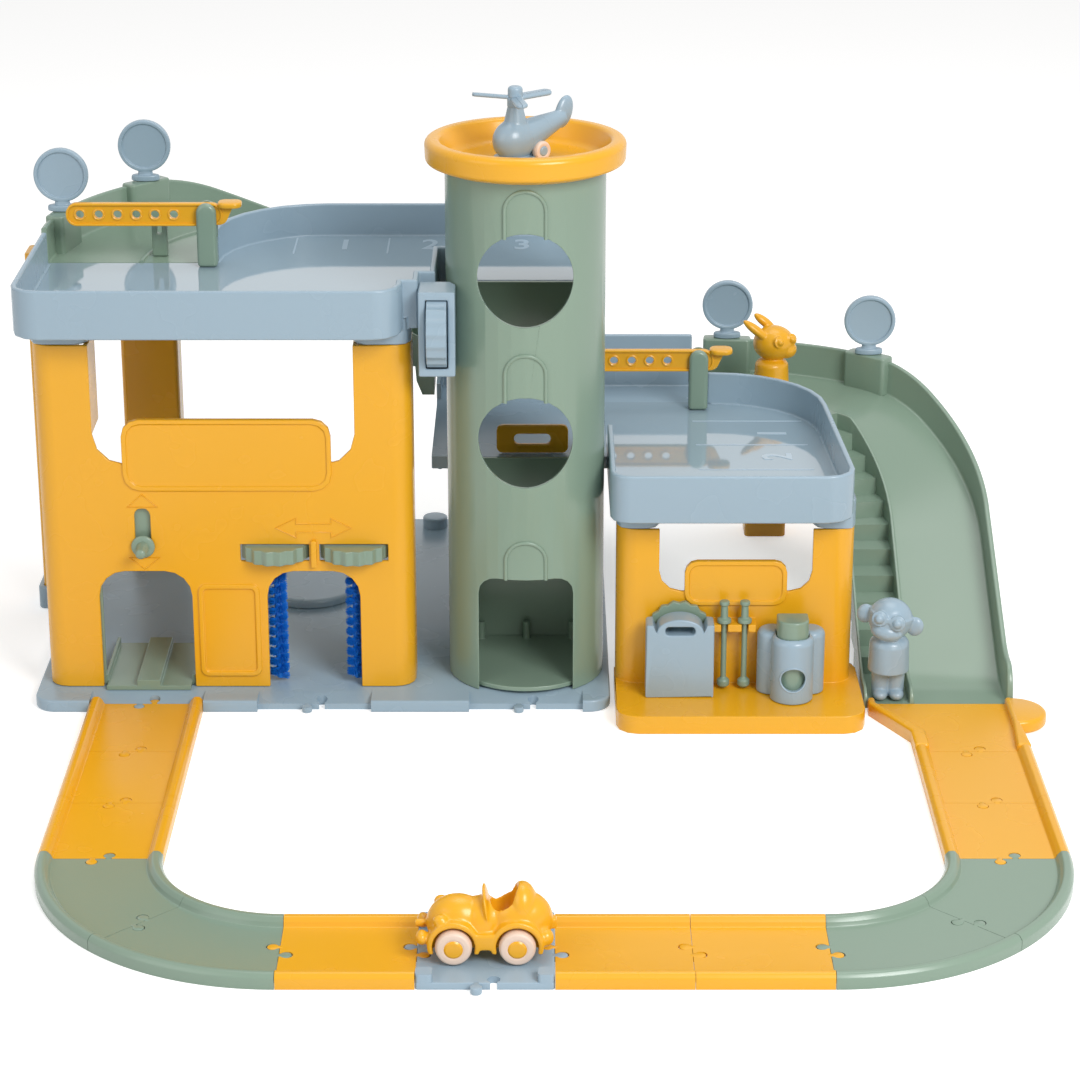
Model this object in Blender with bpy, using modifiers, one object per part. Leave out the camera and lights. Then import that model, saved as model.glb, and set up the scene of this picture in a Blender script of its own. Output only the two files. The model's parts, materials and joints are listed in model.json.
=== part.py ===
"""Toy garage: decks, lift tower, ramps, car wash, hoist, fuel station, track, car and helicopter.

Metres, +Z up. The origin is where the tower's axis meets the surface that the garage stands on.
-Y is the front, with the two arches, the tower door and the fuel station.
"""

import math

import bmesh
import bpy
from mathutils import Matrix, Vector

MM = 0.001
GAP = 0.3 * MM

# Colours of the mouldings
YELLOW = (0.86, 0.48, 0.06, 1.0)
GREEN = (0.17, 0.25, 0.18, 1.0)
BLUE = (0.31, 0.43, 0.53, 1.0)
BEIGE = (0.79, 0.61, 0.51, 1.0)
BRISTLE_BLUE = (0.0, 0.10, 0.48, 1.0)

# Base plate
BASE_LEFT = -314 * MM
BASE_RIGHT = 54 * MM
BASE_FRONT = -58 * MM
BASE_BACK = 282 * MM
BASE_THICK = 8 * MM
BASE_CORNER = 14 * MM
SOCKET_DEPTH = 5 * MM
SOCKET_SLOPE = 13 * MM

# Track tiles
TILE_PITCH = 74 * MM
TILE_WIDTH = 72 * MM
TILE_FLOOR = 4 * MM
TILE_FLOOR_THICK = 1.8 * MM
TILE_SKIRT = 2.5 * MM
RAIL_WIDTH = 9 * MM
RAIL_HEIGHT = 9 * MM
CURVE_RADIUS = 1.5 * TILE_PITCH
CURVE_STEPS = 4
HOOK_RADIUS = 3.2 * MM
HOOK_REACH = 4.4 * MM
HOOK_NECK = 3.0 * MM
HOOK_OFFSET = 4.6 * MM
LEFT_STRAIGHTS = 3
FRONT_TILES = 4
RIGHT_STRAIGHTS = 2
JOINT_Y = BASE_FRONT + SOCKET_DEPTH

# Front wall of the left building
WALL_LEFT = -307 * MM
WALL_RIGHT = -71 * MM
WALL_FRONT = -35 * MM
WALL_THICK = 3 * MM
WALL_TOP = 237 * MM
COLUMN_WIDTH = 36 * MM
COLUMN_DEPTH = 32 * MM
COLUMN_CORNER = 13 * MM
SILL = 159 * MM
ARCH_WIDTH = 59 * MM
ARCH_TOP = 87.6 * MM
ARCH_CORNER = 17 * MM
LEFT_ARCH_X = -242 * MM
RIGHT_ARCH_X = -135 * MM
BOARD_SIZE = (131 * MM, 47 * MM)
BOARD_CENTRE = (-187.4 * MM, 165.5 * MM)
BOARD_CORNER = 11 * MM
POSTER_SIZE = (39 * MM, 63 * MM)
POSTER_CENTRE = (-189 * MM, 47.5 * MM)
POSTER_CORNER = 5 * MM
BEAD_WIDTH = 3 * MM
BEAD_HEIGHT = 1.5 * MM
LEVER_SLOT_WIDTH = 10 * MM
LEVER_SLOT = (100 * MM, 130 * MM)

# Car wash
WHEEL_AXIS_Y = -26 * MM
WHEEL_AXES_X = (-159 * MM, -109 * MM)
THUMB_RADIUS = 22 * MM
THUMB_TEETH = 16
THUMB_TOOTH = 1.8 * MM
THUMB_SLOT = (94.6 * MM, 105.8 * MM)
THUMB_SLOT_WIDTH = 43.5 * MM
BRUSH_RADIUS = 6 * MM
BRUSH_CORE = 2.2 * MM
BRUSH_LOW = 12 * MM
BRUSH_HIGH = 85 * MM
BRISTLE_ROWS = 20
BRISTLES_A_ROW = 8
BRISTLE_TWIST = 0.5
BRUSH_TOP_CLEAR = 0.6 * MM
TURNTABLE_X = -150 * MM
TURNTABLE_Y = 132 * MM
TURNTABLE_RADIUS = 32 * MM
TURNTABLE_TOP = 14 * MM
TURNTABLE_PIN = 6 * MM

# Car hoist
HOIST_WIDTH = 58 * MM
HOIST_LIP_WIDTH = 54 * MM
HOIST_FRONT = -41 * MM
HOIST_BACK = 32 * MM
HOIST_THICK = 3 * MM
HOIST_RAIL = 7 * MM
HOIST_BAR = 15 * MM
HOIST_TRAVEL = 20 * MM
HOIST_ARM_X = -280 * MM
HOIST_ARM_THICK = 2.5 * MM
KNOB_Z = 105 * MM
KNOB_RADIUS = 4.2 * MM
KNOB_FLANGE = 7.5 * MM
KNOB_LENGTH = 17 * MM

# Lift tower
TOWER_RADIUS = 50 * MM
TOWER_WALL = 3 * MM
TOWER_SIDE = 8 * MM
TOWER_BACK = 46 * MM
TOWER_TOP = 343 * MM
TOWER_STEPS = 18
WINDOW_RADIUS = 29.3 * MM
WINDOW_HEIGHTS = (178 * MM, 282 * MM)
DOOR_WIDTH = 60 * MM
DOOR_TOP = 87 * MM
DOOR_CORNER = 12 * MM
REAR_OPENING_WIDTH = 64 * MM
REAR_OPENING_HEIGHT = 66 * MM
LIFT_THICK = 3 * MM
LIFT_LOW = 9.5 * MM
LIFT_CLEAR = 0.6 * MM
LIFT_POST = 12 * MM

# Crank
CRANK_OFFSET = 4.5 * MM
CRANK_X = -TOWER_RADIUS - CRANK_OFFSET
CRANK_Y = -37 * MM
CRANK_Z = 247 * MM
CRANK_RADIUS = 22.5 * MM
CRANK_WIDTH = 12.5 * MM
CRANK_TEETH = 18
CRANK_TOOTH = 1.2 * MM
CRANK_PIN = 3 * MM
CRANK_PIN_REACH = 2.4 * MM
CRANK_CHEEK = 4.5 * MM
CRANK_HOUSING_HALF = 27 * MM
CRANK_HOUSING_FRONT = -46 * MM
CRANK_HOUSING_BACK = -20 * MM

# Heliport dish
DISH_RADIUS = 62.5 * MM
DISH_FLOOR_RADIUS = 50 * MM
DISH_HEIGHT = 17 * MM
DISH_WALL = 3 * MM

# Decks
UPPER_FLOOR = 256 * MM
MIDDLE_FLOOR = 137 * MM
DECK_SKIRT = 9 * MM
DECK_THICK = 3 * MM
RIM_HEIGHT = 22 * MM
RIM_THICK = 3.5 * MM
RIM_CORNER = 18 * MM
TURN_INNER = 72 * MM
UPPER_LEFT = -315 * MM
UPPER_FRONT_RIGHT = -76 * MM
UPPER_RIGHT = TOWER_RADIUS
UPPER_TURN = (-133 * MM, 90 * MM)
TOWER_CLEAR = 3 * MM
MIDDLE_LEFT = TOWER_RADIUS + TOWER_CLEAR
MIDDLE_FRONT_RIGHT = 207 * MM
MIDDLE_TURN = (128 * MM, 90 * MM)
MIDDLE_BACK_LEFT = -62 * MM
MIDDLE_LANE_LEFT = 8 * MM
REAR_WALL_Y = 200 * MM
REAR_WALL_TOP = 174 * MM
REAR_WALL_RIGHT = 115 * MM

# Ramps, which are two copies of one moulding but for their drop
LANE_RADIUS = 150 * MM
LANE_HALF = 33 * MM
LANE_STRAIGHT = 143 * MM
LANE_SLOPE = 0.55
LANE_FOOT = 30 * MM
LANE_THICK = 3 * MM
OUTER_WALL = 23.5 * MM
OUTER_WALL_THICK = 4 * MM
INNER_WALL = 9 * MM
INNER_WALL_THICK = 3 * MM
STAIR_WIDTH = 29 * MM
STAIR_RISE = 11 * MM
LOWER_RAMP_TOP = 127 * MM
RISER_RUN = 0.8 * MM
UPPER_STAIR_START = 74.2 * MM
LANDING_START = 50
LANDING_GAP = 0.8 * MM
UPPER_SIGN_ANGLES = (77.5, 46.5)
LOWER_SIGN_ANGLES = (85, 50.5)
SIGN_BLOCK = (34 * MM, 13 * MM, 25 * MM)

# Round signs
SIGN_RADIUS = 18 * MM
SIGN_THICK = 5 * MM
SIGN_RIM = 3 * MM
SIGN_FOOT = (10 * MM, 5 * MM, 4 * MM)
SIGN_NECK = 5 * MM

# Booms and their posts
POST_WIDTH = 13 * MM
POST_DEPTH = 13 * MM
POST_HEIGHT = 42 * MM
POST_SLOT = 5.8 * MM
UPPER_POST = (-207 * MM, 83 * MM)
MIDDLE_POST = (117 * MM, 149 * MM)
BOOM_PIVOT = 34 * MM
BOOM_REACH = 91 * MM
BOOM_TAIL = 23 * MM
BOOM_HEIGHT = 15 * MM
BOOM_THICK = 5 * MM
BOOM_HOLES = 6
BOOM_HOLE_RADIUS = 2.7 * MM
BOOM_PIN = 1.8 * MM

# Fuel station
STATION_LEFT = 57 * MM
STATION_RIGHT = 214 * MM
STATION_FRONT = -92 * MM
STATION_BACK = 2 * MM
STATION_BASE = 12 * MM
STATION_WALL = (57.6 * MM, 208.6 * MM)
STATION_WALL_FRONT = -38 * MM
STATION_TOP = 117 * MM
STATION_COLUMN = 27 * MM
STATION_DEPTH = 26 * MM
STATION_SILL = 75 * MM
STATION_BOARD = (65 * MM, 30 * MM)
STATION_BOARD_CENTRE = (133.3 * MM, 81 * MM)
CAN_X = 97.5 * MM
CAN_WIDTH = 43 * MM
CAN_SHOULDER = 57 * MM
CAN_TOP = 65 * MM
CAN_FRONT = -62 * MM
CAN_BACK = -46 * MM
COUNTER_Z = 50 * MM
COUNTER_RADIUS = 20.5 * MM
COUNTER_TEETH = 16
COUNTER_TOOTH = 1.6 * MM
COUNTER_THICK = 4 * MM
COUNTER_PIN = 2.5 * MM
NOZZLES_X = (126 * MM, 139 * MM)
NOZZLE_Y = -46 * MM
NOZZLE_LOW = 13 * MM
NOZZLE_TOP = 72 * MM
NOZZLE_STICK = 1.8 * MM
NOZZLE_COLLAR = 4.5 * MM
CLIP_LOW = 52 * MM
CLIP_HIGH = 57 * MM
PUMP_X = 168.5 * MM
PUMP_FRONT = -75 * MM
PUMP_BACK = -39 * MM
PUMP_TOP = 55 * MM
PUMP_LOBE = 12 * MM
PUMP_SIDE_LOBE = 9.5 * MM
PUMP_HALF = 21.5 * MM
BUTTON_HALF = 9.5 * MM
BUTTON_TOP = 66 * MM
BUTTON_TRAVEL = 4 * MM
PUMP_WINDOW_RADIUS = 7.9 * MM
PUMP_WINDOW_Z = 29 * MM

# Ramp foot tile
FOOT_TILE_LEFT = 218 * MM
FOOT_TILE_RIGHT = 310 * MM
FOOT_TAB = 20 * MM

# Toy car
CAR_X = -20 * MM
CAR_LENGTH = 66 * MM
CAR_WIDTH = 36 * MM
CAR_WHEEL = 9.9 * MM
CAR_WHEEL_WIDTH = 9 * MM
CAR_WHEELBASE = 34 * MM
CAR_AXLE = 1.8 * MM

# Helicopter
HELICOPTER_YAW = 40
HELICOPTER_WHEEL = 6 * MM
HELICOPTER_MAST = 43.4 * MM
ROTOR_RADIUS = 28 * MM
ROTOR_BLADES = 3

# Figures
MONKEY_PLACE = (232 * MM, -41 * MM)
RABBIT_PLACE = (171 * MM, 200 * MM)


def remove_old_objects():
    for item in list(bpy.data.objects):
        bpy.data.objects.remove(item)


def new_collection(name):
    group = bpy.data.collections.new(name)
    bpy.context.scene.collection.children.link(group)
    return group


def new_material(name, colour, roughness):
    material = bpy.data.materials.new(name)
    material.use_nodes = True
    shader = material.node_tree.nodes["Principled BSDF"]
    shader.inputs["Base Color"].default_value = colour
    shader.inputs["Roughness"].default_value = roughness
    shader.inputs["Metallic"].default_value = 0.0
    return material


def mesh_object(name, bm):
    """Turn a bmesh into an object in the pieces' collection."""
    mesh = bpy.data.meshes.new(name)
    bm.to_mesh(mesh)
    bm.free()
    item = bpy.data.objects.new(name, mesh)
    PIECES.objects.link(item)
    return item


def box(name, x, y, z, bevel=0.0):
    """A box between pairs of limits, with its edges rounded if asked."""
    bm = bmesh.new()
    bmesh.ops.create_cube(bm, size=1.0)
    bmesh.ops.scale(bm, vec=(x[1] - x[0], y[1] - y[0], z[1] - z[0]), verts=bm.verts)
    bmesh.ops.translate(bm, vec=((x[0] + x[1]) / 2, (y[0] + y[1]) / 2, (z[0] + z[1]) / 2), verts=bm.verts)
    if bevel:
        bmesh.ops.bevel(bm, geom=bm.edges, offset=bevel, segments=2, profile=0.5, affect="EDGES")
    return mesh_object(name, bm)


AXIS_TURN = {
    "X": Matrix.Rotation(math.pi / 2, 4, "Y"),
    "Y": Matrix.Rotation(-math.pi / 2, 4, "X"),
    "Z": Matrix.Identity(4),
}


def rod(name, radius, low, high, centre=(0.0, 0.0), axis="Z", segments=16, far_radius=None):
    """A cylinder along an axis; centre gives the two other coordinates in XYZ order."""
    bm = bmesh.new()
    end_radius = radius if far_radius is None else far_radius
    bmesh.ops.create_cone(
        bm, cap_ends=True, segments=segments, radius1=radius, radius2=end_radius, depth=high - low
    )
    bmesh.ops.transform(bm, matrix=AXIS_TURN[axis], verts=bm.verts)
    middle = (low + high) / 2
    place = {"X": (middle, *centre), "Y": (centre[0], middle, centre[1]), "Z": (*centre, middle)}[axis]
    bmesh.ops.translate(bm, vec=place, verts=bm.verts)
    return mesh_object(name, bm)


def ball(name, radius, centre, stretch=(1.0, 1.0, 1.0), segments=10, rings=6):
    """A sphere or an ellipsoid."""
    bm = bmesh.new()
    bmesh.ops.create_uvsphere(bm, u_segments=segments, v_segments=rings, radius=radius)
    bmesh.ops.scale(bm, vec=stretch, verts=bm.verts)
    bmesh.ops.translate(bm, vec=centre, verts=bm.verts)
    return mesh_object(name, bm)


def turned(name, profile, centre, segments=24):
    """A body turned about Z; the profile of (radius, height) runs from its top down its outer side."""
    bm = bmesh.new()
    verts = [bm.verts.new((radius, 0.0, height)) for radius, height in profile]
    for first, second in zip(verts, verts[1:]):
        bm.edges.new((first, second))
    item = mesh_object(name, bm)
    item.location = (centre[0], centre[1], 0.0)
    screw = item.modifiers.new("Turn", "SCREW")
    screw.steps = segments
    screw.render_steps = segments
    screw.use_merge_vertices = True
    screw.merge_threshold = 0.00001
    return item


PLANES = {
    "XY": Matrix.Identity(4),
    "XZ": Matrix.Rotation(math.pi / 2, 4, "X"),
    "YZ": Matrix(((0, 0, 1, 0), (1, 0, 0, 0), (0, 1, 0, 0), (0, 0, 0, 1))),
}


def outline_solid(name, outlines, low, high, plane="XY"):
    """A flat outline, with holes where one outline lies in another, made as thick as low to high."""
    curve = bpy.data.curves.new(name + "_outline", "CURVE")
    curve.dimensions = "2D"
    curve.fill_mode = "BOTH"
    curve.extrude = (high - low) / 2
    for points in outlines:
        spline = curve.splines.new("POLY")
        spline.points.add(len(points) - 1)
        for point, (across, up) in zip(spline.points, points):
            point.co = (across, up, 0.0, 1.0)
        spline.use_cyclic_u = True
    flat = bpy.data.objects.new(name + "_outline", curve)
    middle = (low + high) / 2
    shift = {"XY": (0, 0, middle), "XZ": (0, middle, 0), "YZ": (middle, 0, 0)}[plane]
    flat.matrix_world = Matrix.Translation(shift) @ PLANES[plane]
    PIECES.objects.link(flat)
    bpy.context.view_layer.update()
    evaluated = flat.evaluated_get(bpy.context.evaluated_depsgraph_get())
    mesh = bpy.data.meshes.new_from_object(evaluated)
    mesh.transform(flat.matrix_world)
    bpy.data.objects.remove(flat)
    bm = bmesh.new()
    bm.from_mesh(mesh)
    bmesh.ops.remove_doubles(bm, verts=bm.verts, dist=0.000002)
    bmesh.ops.recalc_face_normals(bm, faces=bm.faces)
    bpy.data.meshes.remove(mesh)
    return mesh_object(name, bm)


def operate(target, tool, operation):
    """Join a tool to a target or cut it out, and keep the tool with the cutters."""
    modifier = target.modifiers.new(tool.name, "BOOLEAN")
    modifier.operation = operation
    modifier.object = tool
    modifier.solver = "EXACT"
    PIECES.objects.unlink(tool)
    CUTTERS.objects.link(tool)
    tool.hide_render = True
    tool.display_type = "WIRE"


def join(target, *tools):
    for tool in tools:
        operate(target, tool, "UNION")
    return target


def cut(target, *tools):
    for tool in tools:
        operate(target, tool, "DIFFERENCE")
    return target


def set_origin(item, point):
    """Move an object's origin to a joint's axis and leave its shape where it is."""
    item.data.transform(Matrix.Translation([-value for value in point]))
    item.location = point


def paint(item, material):
    item.data.materials.append(material)
    item.data.shade_smooth()
    item.data.set_sharp_from_angle(angle=math.radians(30))
    return item


def arc(centre, radius, start, end, steps):
    """Points along an arc, angles in degrees."""
    points = []
    for step in range(steps + 1):
        angle = math.radians(start + (end - start) * step / steps)
        points.append((centre[0] + radius * math.cos(angle), centre[1] + radius * math.sin(angle)))
    return points


def rounded_rectangle(x, y, radius, steps=3):
    """Outline between pairs of limits with round corners."""
    corners = (
        (x[1] - radius, y[0] + radius, -90),
        (x[1] - radius, y[1] - radius, 0),
        (x[0] + radius, y[1] - radius, 90),
        (x[0] + radius, y[0] + radius, 180),
    )
    points = []
    for corner_x, corner_y, start in corners:
        points += arc((corner_x, corner_y), radius, start, start + 90, steps)
    return points


def centred_rectangle(centre, size, radius, steps=3):
    x = (centre[0] - size[0] / 2, centre[0] + size[0] / 2)
    y = (centre[1] - size[1] / 2, centre[1] + size[1] / 2)
    return rounded_rectangle(x, y, radius, steps)


def arch(centre_x, width, low, top, radius, steps=4):
    """Outline of a doorway with round upper corners."""
    left = centre_x - width / 2
    right = centre_x + width / 2
    points = [(left, low), (right, low)]
    points += arc((right - radius, top - radius), radius, 0, 90, steps)
    points += arc((left + radius, top - radius), radius, 90, 180, steps)
    return points


def round_corner(before, corner, after, radius, steps=4):
    """Arc that rounds one corner of an outline."""
    ax, ay = before[0] - corner[0], before[1] - corner[1]
    bx, by = after[0] - corner[0], after[1] - corner[1]
    a_length, b_length = math.hypot(ax, ay), math.hypot(bx, by)
    ax, ay, bx, by = ax / a_length, ay / a_length, bx / b_length, by / b_length
    half = math.acos(max(-1.0, min(1.0, ax * bx + ay * by))) / 2
    reach = radius / math.tan(half)
    start = (corner[0] + ax * reach, corner[1] + ay * reach)
    end = (corner[0] + bx * reach, corner[1] + by * reach)
    middle_x, middle_y = ax + bx, ay + by
    middle = math.hypot(middle_x, middle_y)
    depth = radius / math.sin(half)
    centre = (corner[0] + middle_x / middle * depth, corner[1] + middle_y / middle * depth)
    first = math.degrees(math.atan2(start[1] - centre[1], start[0] - centre[0]))
    last = math.degrees(math.atan2(end[1] - centre[1], end[0] - centre[0]))
    turn = (last - first + 180) % 360 - 180
    return arc(centre, radius, first, first + turn, steps)


def rounded_outline(corners, steps=3):
    """Outline from (x, y, corner radius) points, going anticlockwise."""
    points = []
    for index, (x, y, radius) in enumerate(corners):
        if radius == 0:
            points.append((x, y))
            continue
        before = corners[index - 1]
        after = corners[(index + 1) % len(corners)]
        points += round_corner(before, (x, y), after, radius, steps)
    return points


def inset(points, distance):
    """Move an anticlockwise outline inwards by a distance."""
    moved = []
    count = len(points)
    for index in range(count):
        before = points[index - 1]
        here = points[index]
        after = points[(index + 1) % count]
        first = (here[0] - before[0], here[1] - before[1])
        second = (after[0] - here[0], after[1] - here[1])
        first_length, second_length = math.hypot(*first), math.hypot(*second)
        normal_1 = (-first[1] / first_length, first[0] / first_length)
        normal_2 = (-second[1] / second_length, second[0] / second_length)
        middle = (normal_1[0] + normal_2[0], normal_1[1] + normal_2[1])
        scale = 2 * distance / (middle[0] ** 2 + middle[1] ** 2)
        moved.append((here[0] + middle[0] * scale, here[1] + middle[1] * scale))
    return moved


def toothed(centre, radius, depth, teeth):
    """Outline of a wheel with round teeth, four points a tooth."""
    points = []
    for step in range(teeth * 4):
        angle = math.tau * step / (teeth * 4)
        reach = radius - depth / 2 * (1 + math.cos(angle * teeth))
        points.append((centre[0] + reach * math.cos(angle), centre[1] + reach * math.sin(angle)))
    return points


def loft(name, rings):
    """Skin a row of rings that have the same number of points, and cap both ends."""
    bm = bmesh.new()
    loops = [[bm.verts.new(point) for point in ring] for ring in rings]
    count = len(loops[0])
    for first, second in zip(loops, loops[1:]):
        for index in range(count):
            after = (index + 1) % count
            bm.faces.new((first[index], first[after], second[after], second[index]))
    bm.faces.new(loops[0])
    bm.faces.new(loops[-1])
    bmesh.ops.recalc_face_normals(bm, faces=bm.faces)
    return mesh_object(name, bm)


def hook_outline(grow):
    """Outline of a track hook at the +Y end of a tile, round the point (0, 0) on the joint line."""
    radius = HOOK_RADIUS + grow
    neck = HOOK_NECK / 2 + grow
    root = -1.5 * MM
    open_angle = math.degrees(math.asin(neck / radius))
    head = arc((0.0, HOOK_REACH), radius, -90 + open_angle, 270 - open_angle, 5)
    return [(-neck, root), (neck, root)] + head


def end_matrix(end, heading):
    """Place a thing made for a +Y end at an end that faces the heading, in degrees from +Y."""
    return Matrix.Translation((end[0], end[1], 0.0)) @ Matrix.Rotation(math.radians(heading), 4, "Z")


def add_hooks(item, end, heading, top=TILE_FLOOR):
    """Give a track end its tongue on the right and its notch on the left, as seen looking outwards."""
    half_gap = GAP / 2
    tongue = outline_solid(item.name + "_tongue", [hook_outline(0.0)], 0.4 * MM, top)
    tongue.data.transform(Matrix.Translation((HOOK_OFFSET, -half_gap, 0.0)))
    notch = outline_solid(item.name + "_notch", [hook_outline(GAP)], -1 * MM, top + 6 * MM)
    notch.data.transform(Matrix.Rotation(math.pi, 4, "Z"))
    notch.data.transform(Matrix.Translation((-HOOK_OFFSET, half_gap, 0.0)))
    place = end_matrix(end, heading)
    tongue.data.transform(place)
    notch.data.transform(place)
    cut(item, notch)
    join(item, tongue)


def tile_section():
    """Section across a tile as (across, height): two round rails, a floor and a hollow underside."""
    half = TILE_WIDTH / 2
    shoulder = RAIL_HEIGHT - 2.5 * MM
    inner = half - RAIL_WIDTH
    under = TILE_FLOOR - TILE_FLOOR_THICK
    right = [
        (inner, TILE_FLOOR),
        (inner + 1.2 * MM, shoulder),
        (inner + 3.6 * MM, RAIL_HEIGHT),
        (half - 2.4 * MM, RAIL_HEIGHT),
        (half, shoulder),
        (half, 0.0),
        (half - TILE_SKIRT, 0.0),
        (half - TILE_SKIRT, under),
    ]
    left = [(-across, height) for across, height in reversed(right)]
    return right + left


def straight_tile(name, centre, heading):
    """A straight tile whose length runs along the heading, in degrees from +Y."""
    length = TILE_PITCH - GAP
    tile = outline_solid(name, [tile_section()], -length / 2, length / 2, "XZ")
    tile.data.transform(end_matrix(centre, heading))
    for turn in (0, 180):
        angle = math.radians(heading + turn)
        end = (
            centre[0] - math.sin(angle) * TILE_PITCH / 2,
            centre[1] + math.cos(angle) * TILE_PITCH / 2,
        )
        add_hooks(tile, end, heading + turn)
    return paint(tile, MATERIALS["yellow"])


def curved_tile(name, centre, start):
    """A 45 degree tile round a centre, anticlockwise from the start angle."""
    margin = math.degrees(GAP / 2 / CURVE_RADIUS)
    rings = []
    for step in range(CURVE_STEPS + 1):
        angle = math.radians(start + margin + (45 - 2 * margin) * step / CURVE_STEPS)
        ring = []
        for across, height in tile_section():
            reach = CURVE_RADIUS + across
            ring.append((centre[0] + reach * math.cos(angle), centre[1] + reach * math.sin(angle), height))
        rings.append(ring)
    tile = loft(name, rings)
    for angle, heading in ((start, start + 180), (start + 45, start + 45)):
        end = arc(centre, CURVE_RADIUS, angle, angle, 1)[0]
        add_hooks(tile, end, heading)
    return paint(tile, MATERIALS["green"])


def crossing_tile(name, centre):
    """The square tile that takes a road on each side."""
    half = (TILE_PITCH - GAP) / 2
    side = TILE_WIDTH / 2
    x = (centre[0] - half, centre[0] + half)
    y = (centre[1] - side, centre[1] + side)
    tile = box(name, x, y, (0.0, TILE_FLOOR))
    for across in (0, 1):
        for along in (0, 1):
            low_x = x[across] - RAIL_WIDTH * across
            low_y = y[along] - RAIL_WIDTH * along
            bump = box(
                f"{name}_corner_{across}{along}",
                (low_x, low_x + RAIL_WIDTH),
                (low_y, low_y + RAIL_WIDTH),
                (1 * MM, RAIL_HEIGHT),
            )
            join(tile, bump)
    reach = {0: side, 90: half + GAP / 2, 180: side, 270: half + GAP / 2}
    for heading, distance in reach.items():
        angle = math.radians(heading)
        end = (centre[0] - math.sin(angle) * distance, centre[1] + math.cos(angle) * distance)
        add_hooks(tile, end, heading)
    return paint(tile, MATERIALS["blue"])


def make_track():
    """The loop of tiles from the left arch round to the foot of the lower ramp."""
    left_y = JOINT_Y
    for index in range(LEFT_STRAIGHTS):
        centre = (LEFT_ARCH_X, left_y - TILE_PITCH * (index + 0.5))
        straight_tile(f"left_straight_{index + 1}", centre, 0)
    turn_y = left_y - TILE_PITCH * LEFT_STRAIGHTS
    left_turn = (LEFT_ARCH_X + CURVE_RADIUS, turn_y)
    curved_tile("left_curve_1", left_turn, 180)
    curved_tile("left_curve_2", left_turn, 225)
    row_y = turn_y - CURVE_RADIUS
    straights = 0
    for index in range(FRONT_TILES):
        centre = (left_turn[0] + TILE_PITCH * (index + 0.5), row_y)
        if index == 1:
            crossing_tile("front_crossing", centre)
            continue
        straights += 1
        straight_tile(f"front_straight_{straights}", centre, 90)
    right_turn = (left_turn[0] + TILE_PITCH * FRONT_TILES, turn_y)
    curved_tile("right_curve_1", right_turn, 270)
    curved_tile("right_curve_2", right_turn, 315)
    road_x = right_turn[0] + CURVE_RADIUS
    for index in range(RIGHT_STRAIGHTS):
        centre = (road_x, turn_y + TILE_PITCH * (index + 0.5))
        straight_tile(f"right_straight_{index + 1}", centre, 0)
    make_foot_tile(road_x, turn_y + TILE_PITCH * RIGHT_STRAIGHTS)
    return row_y


def make_foot_tile(road_x, low_y):
    """The flared tile between the road and the foot of the ramp, with a round tab on its right."""
    high_y = JOINT_Y - GAP
    near_y = low_y + GAP / 2
    half = TILE_WIDTH / 2
    neck_y = low_y + TILE_PITCH * 0.3
    floor = [
        (road_x - half, near_y),
        (road_x + half, near_y),
        (FOOT_TILE_RIGHT, neck_y + 12 * MM),
        (FOOT_TILE_RIGHT, high_y),
        (FOOT_TILE_LEFT, high_y),
        (FOOT_TILE_LEFT, high_y - 10 * MM),
        (road_x - half, neck_y),
    ]
    tile = outline_solid("ramp_foot_tile", [floor], 0.0, TILE_FLOOR)
    right_rail = [
        (road_x + half - RAIL_WIDTH, near_y),
        (road_x + half, near_y),
        (FOOT_TILE_RIGHT, neck_y + 12 * MM),
        (FOOT_TILE_RIGHT, high_y),
        (FOOT_TILE_RIGHT - RAIL_WIDTH / 2, high_y),
        (FOOT_TILE_RIGHT - RAIL_WIDTH / 2, neck_y + 14 * MM),
    ]
    left_rail = [
        (road_x - half, near_y),
        (road_x - half + RAIL_WIDTH, near_y),
        (road_x - half + RAIL_WIDTH, neck_y),
        (FOOT_TILE_LEFT + RAIL_WIDTH / 2, high_y - 8 * MM),
        (FOOT_TILE_LEFT + RAIL_WIDTH / 2, high_y),
        (FOOT_TILE_LEFT, high_y),
        (FOOT_TILE_LEFT, high_y - 10 * MM),
        (road_x - half, neck_y),
    ]
    join(tile, outline_solid("foot_right_rail", [right_rail], 1 * MM, RAIL_HEIGHT))
    join(tile, outline_solid("foot_left_rail", [left_rail], 1 * MM, RAIL_HEIGHT))
    tab_centre = (FOOT_TILE_RIGHT - 1 * MM, high_y - FOOT_TAB)
    tab = arc(tab_centre, FOOT_TAB, -90, 90, 10)
    join(tile, outline_solid("foot_tab", [tab], 0.0, RAIL_HEIGHT))
    add_hooks(tile, (road_x, low_y), 180)
    paint(tile, MATERIALS["yellow"])


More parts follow.
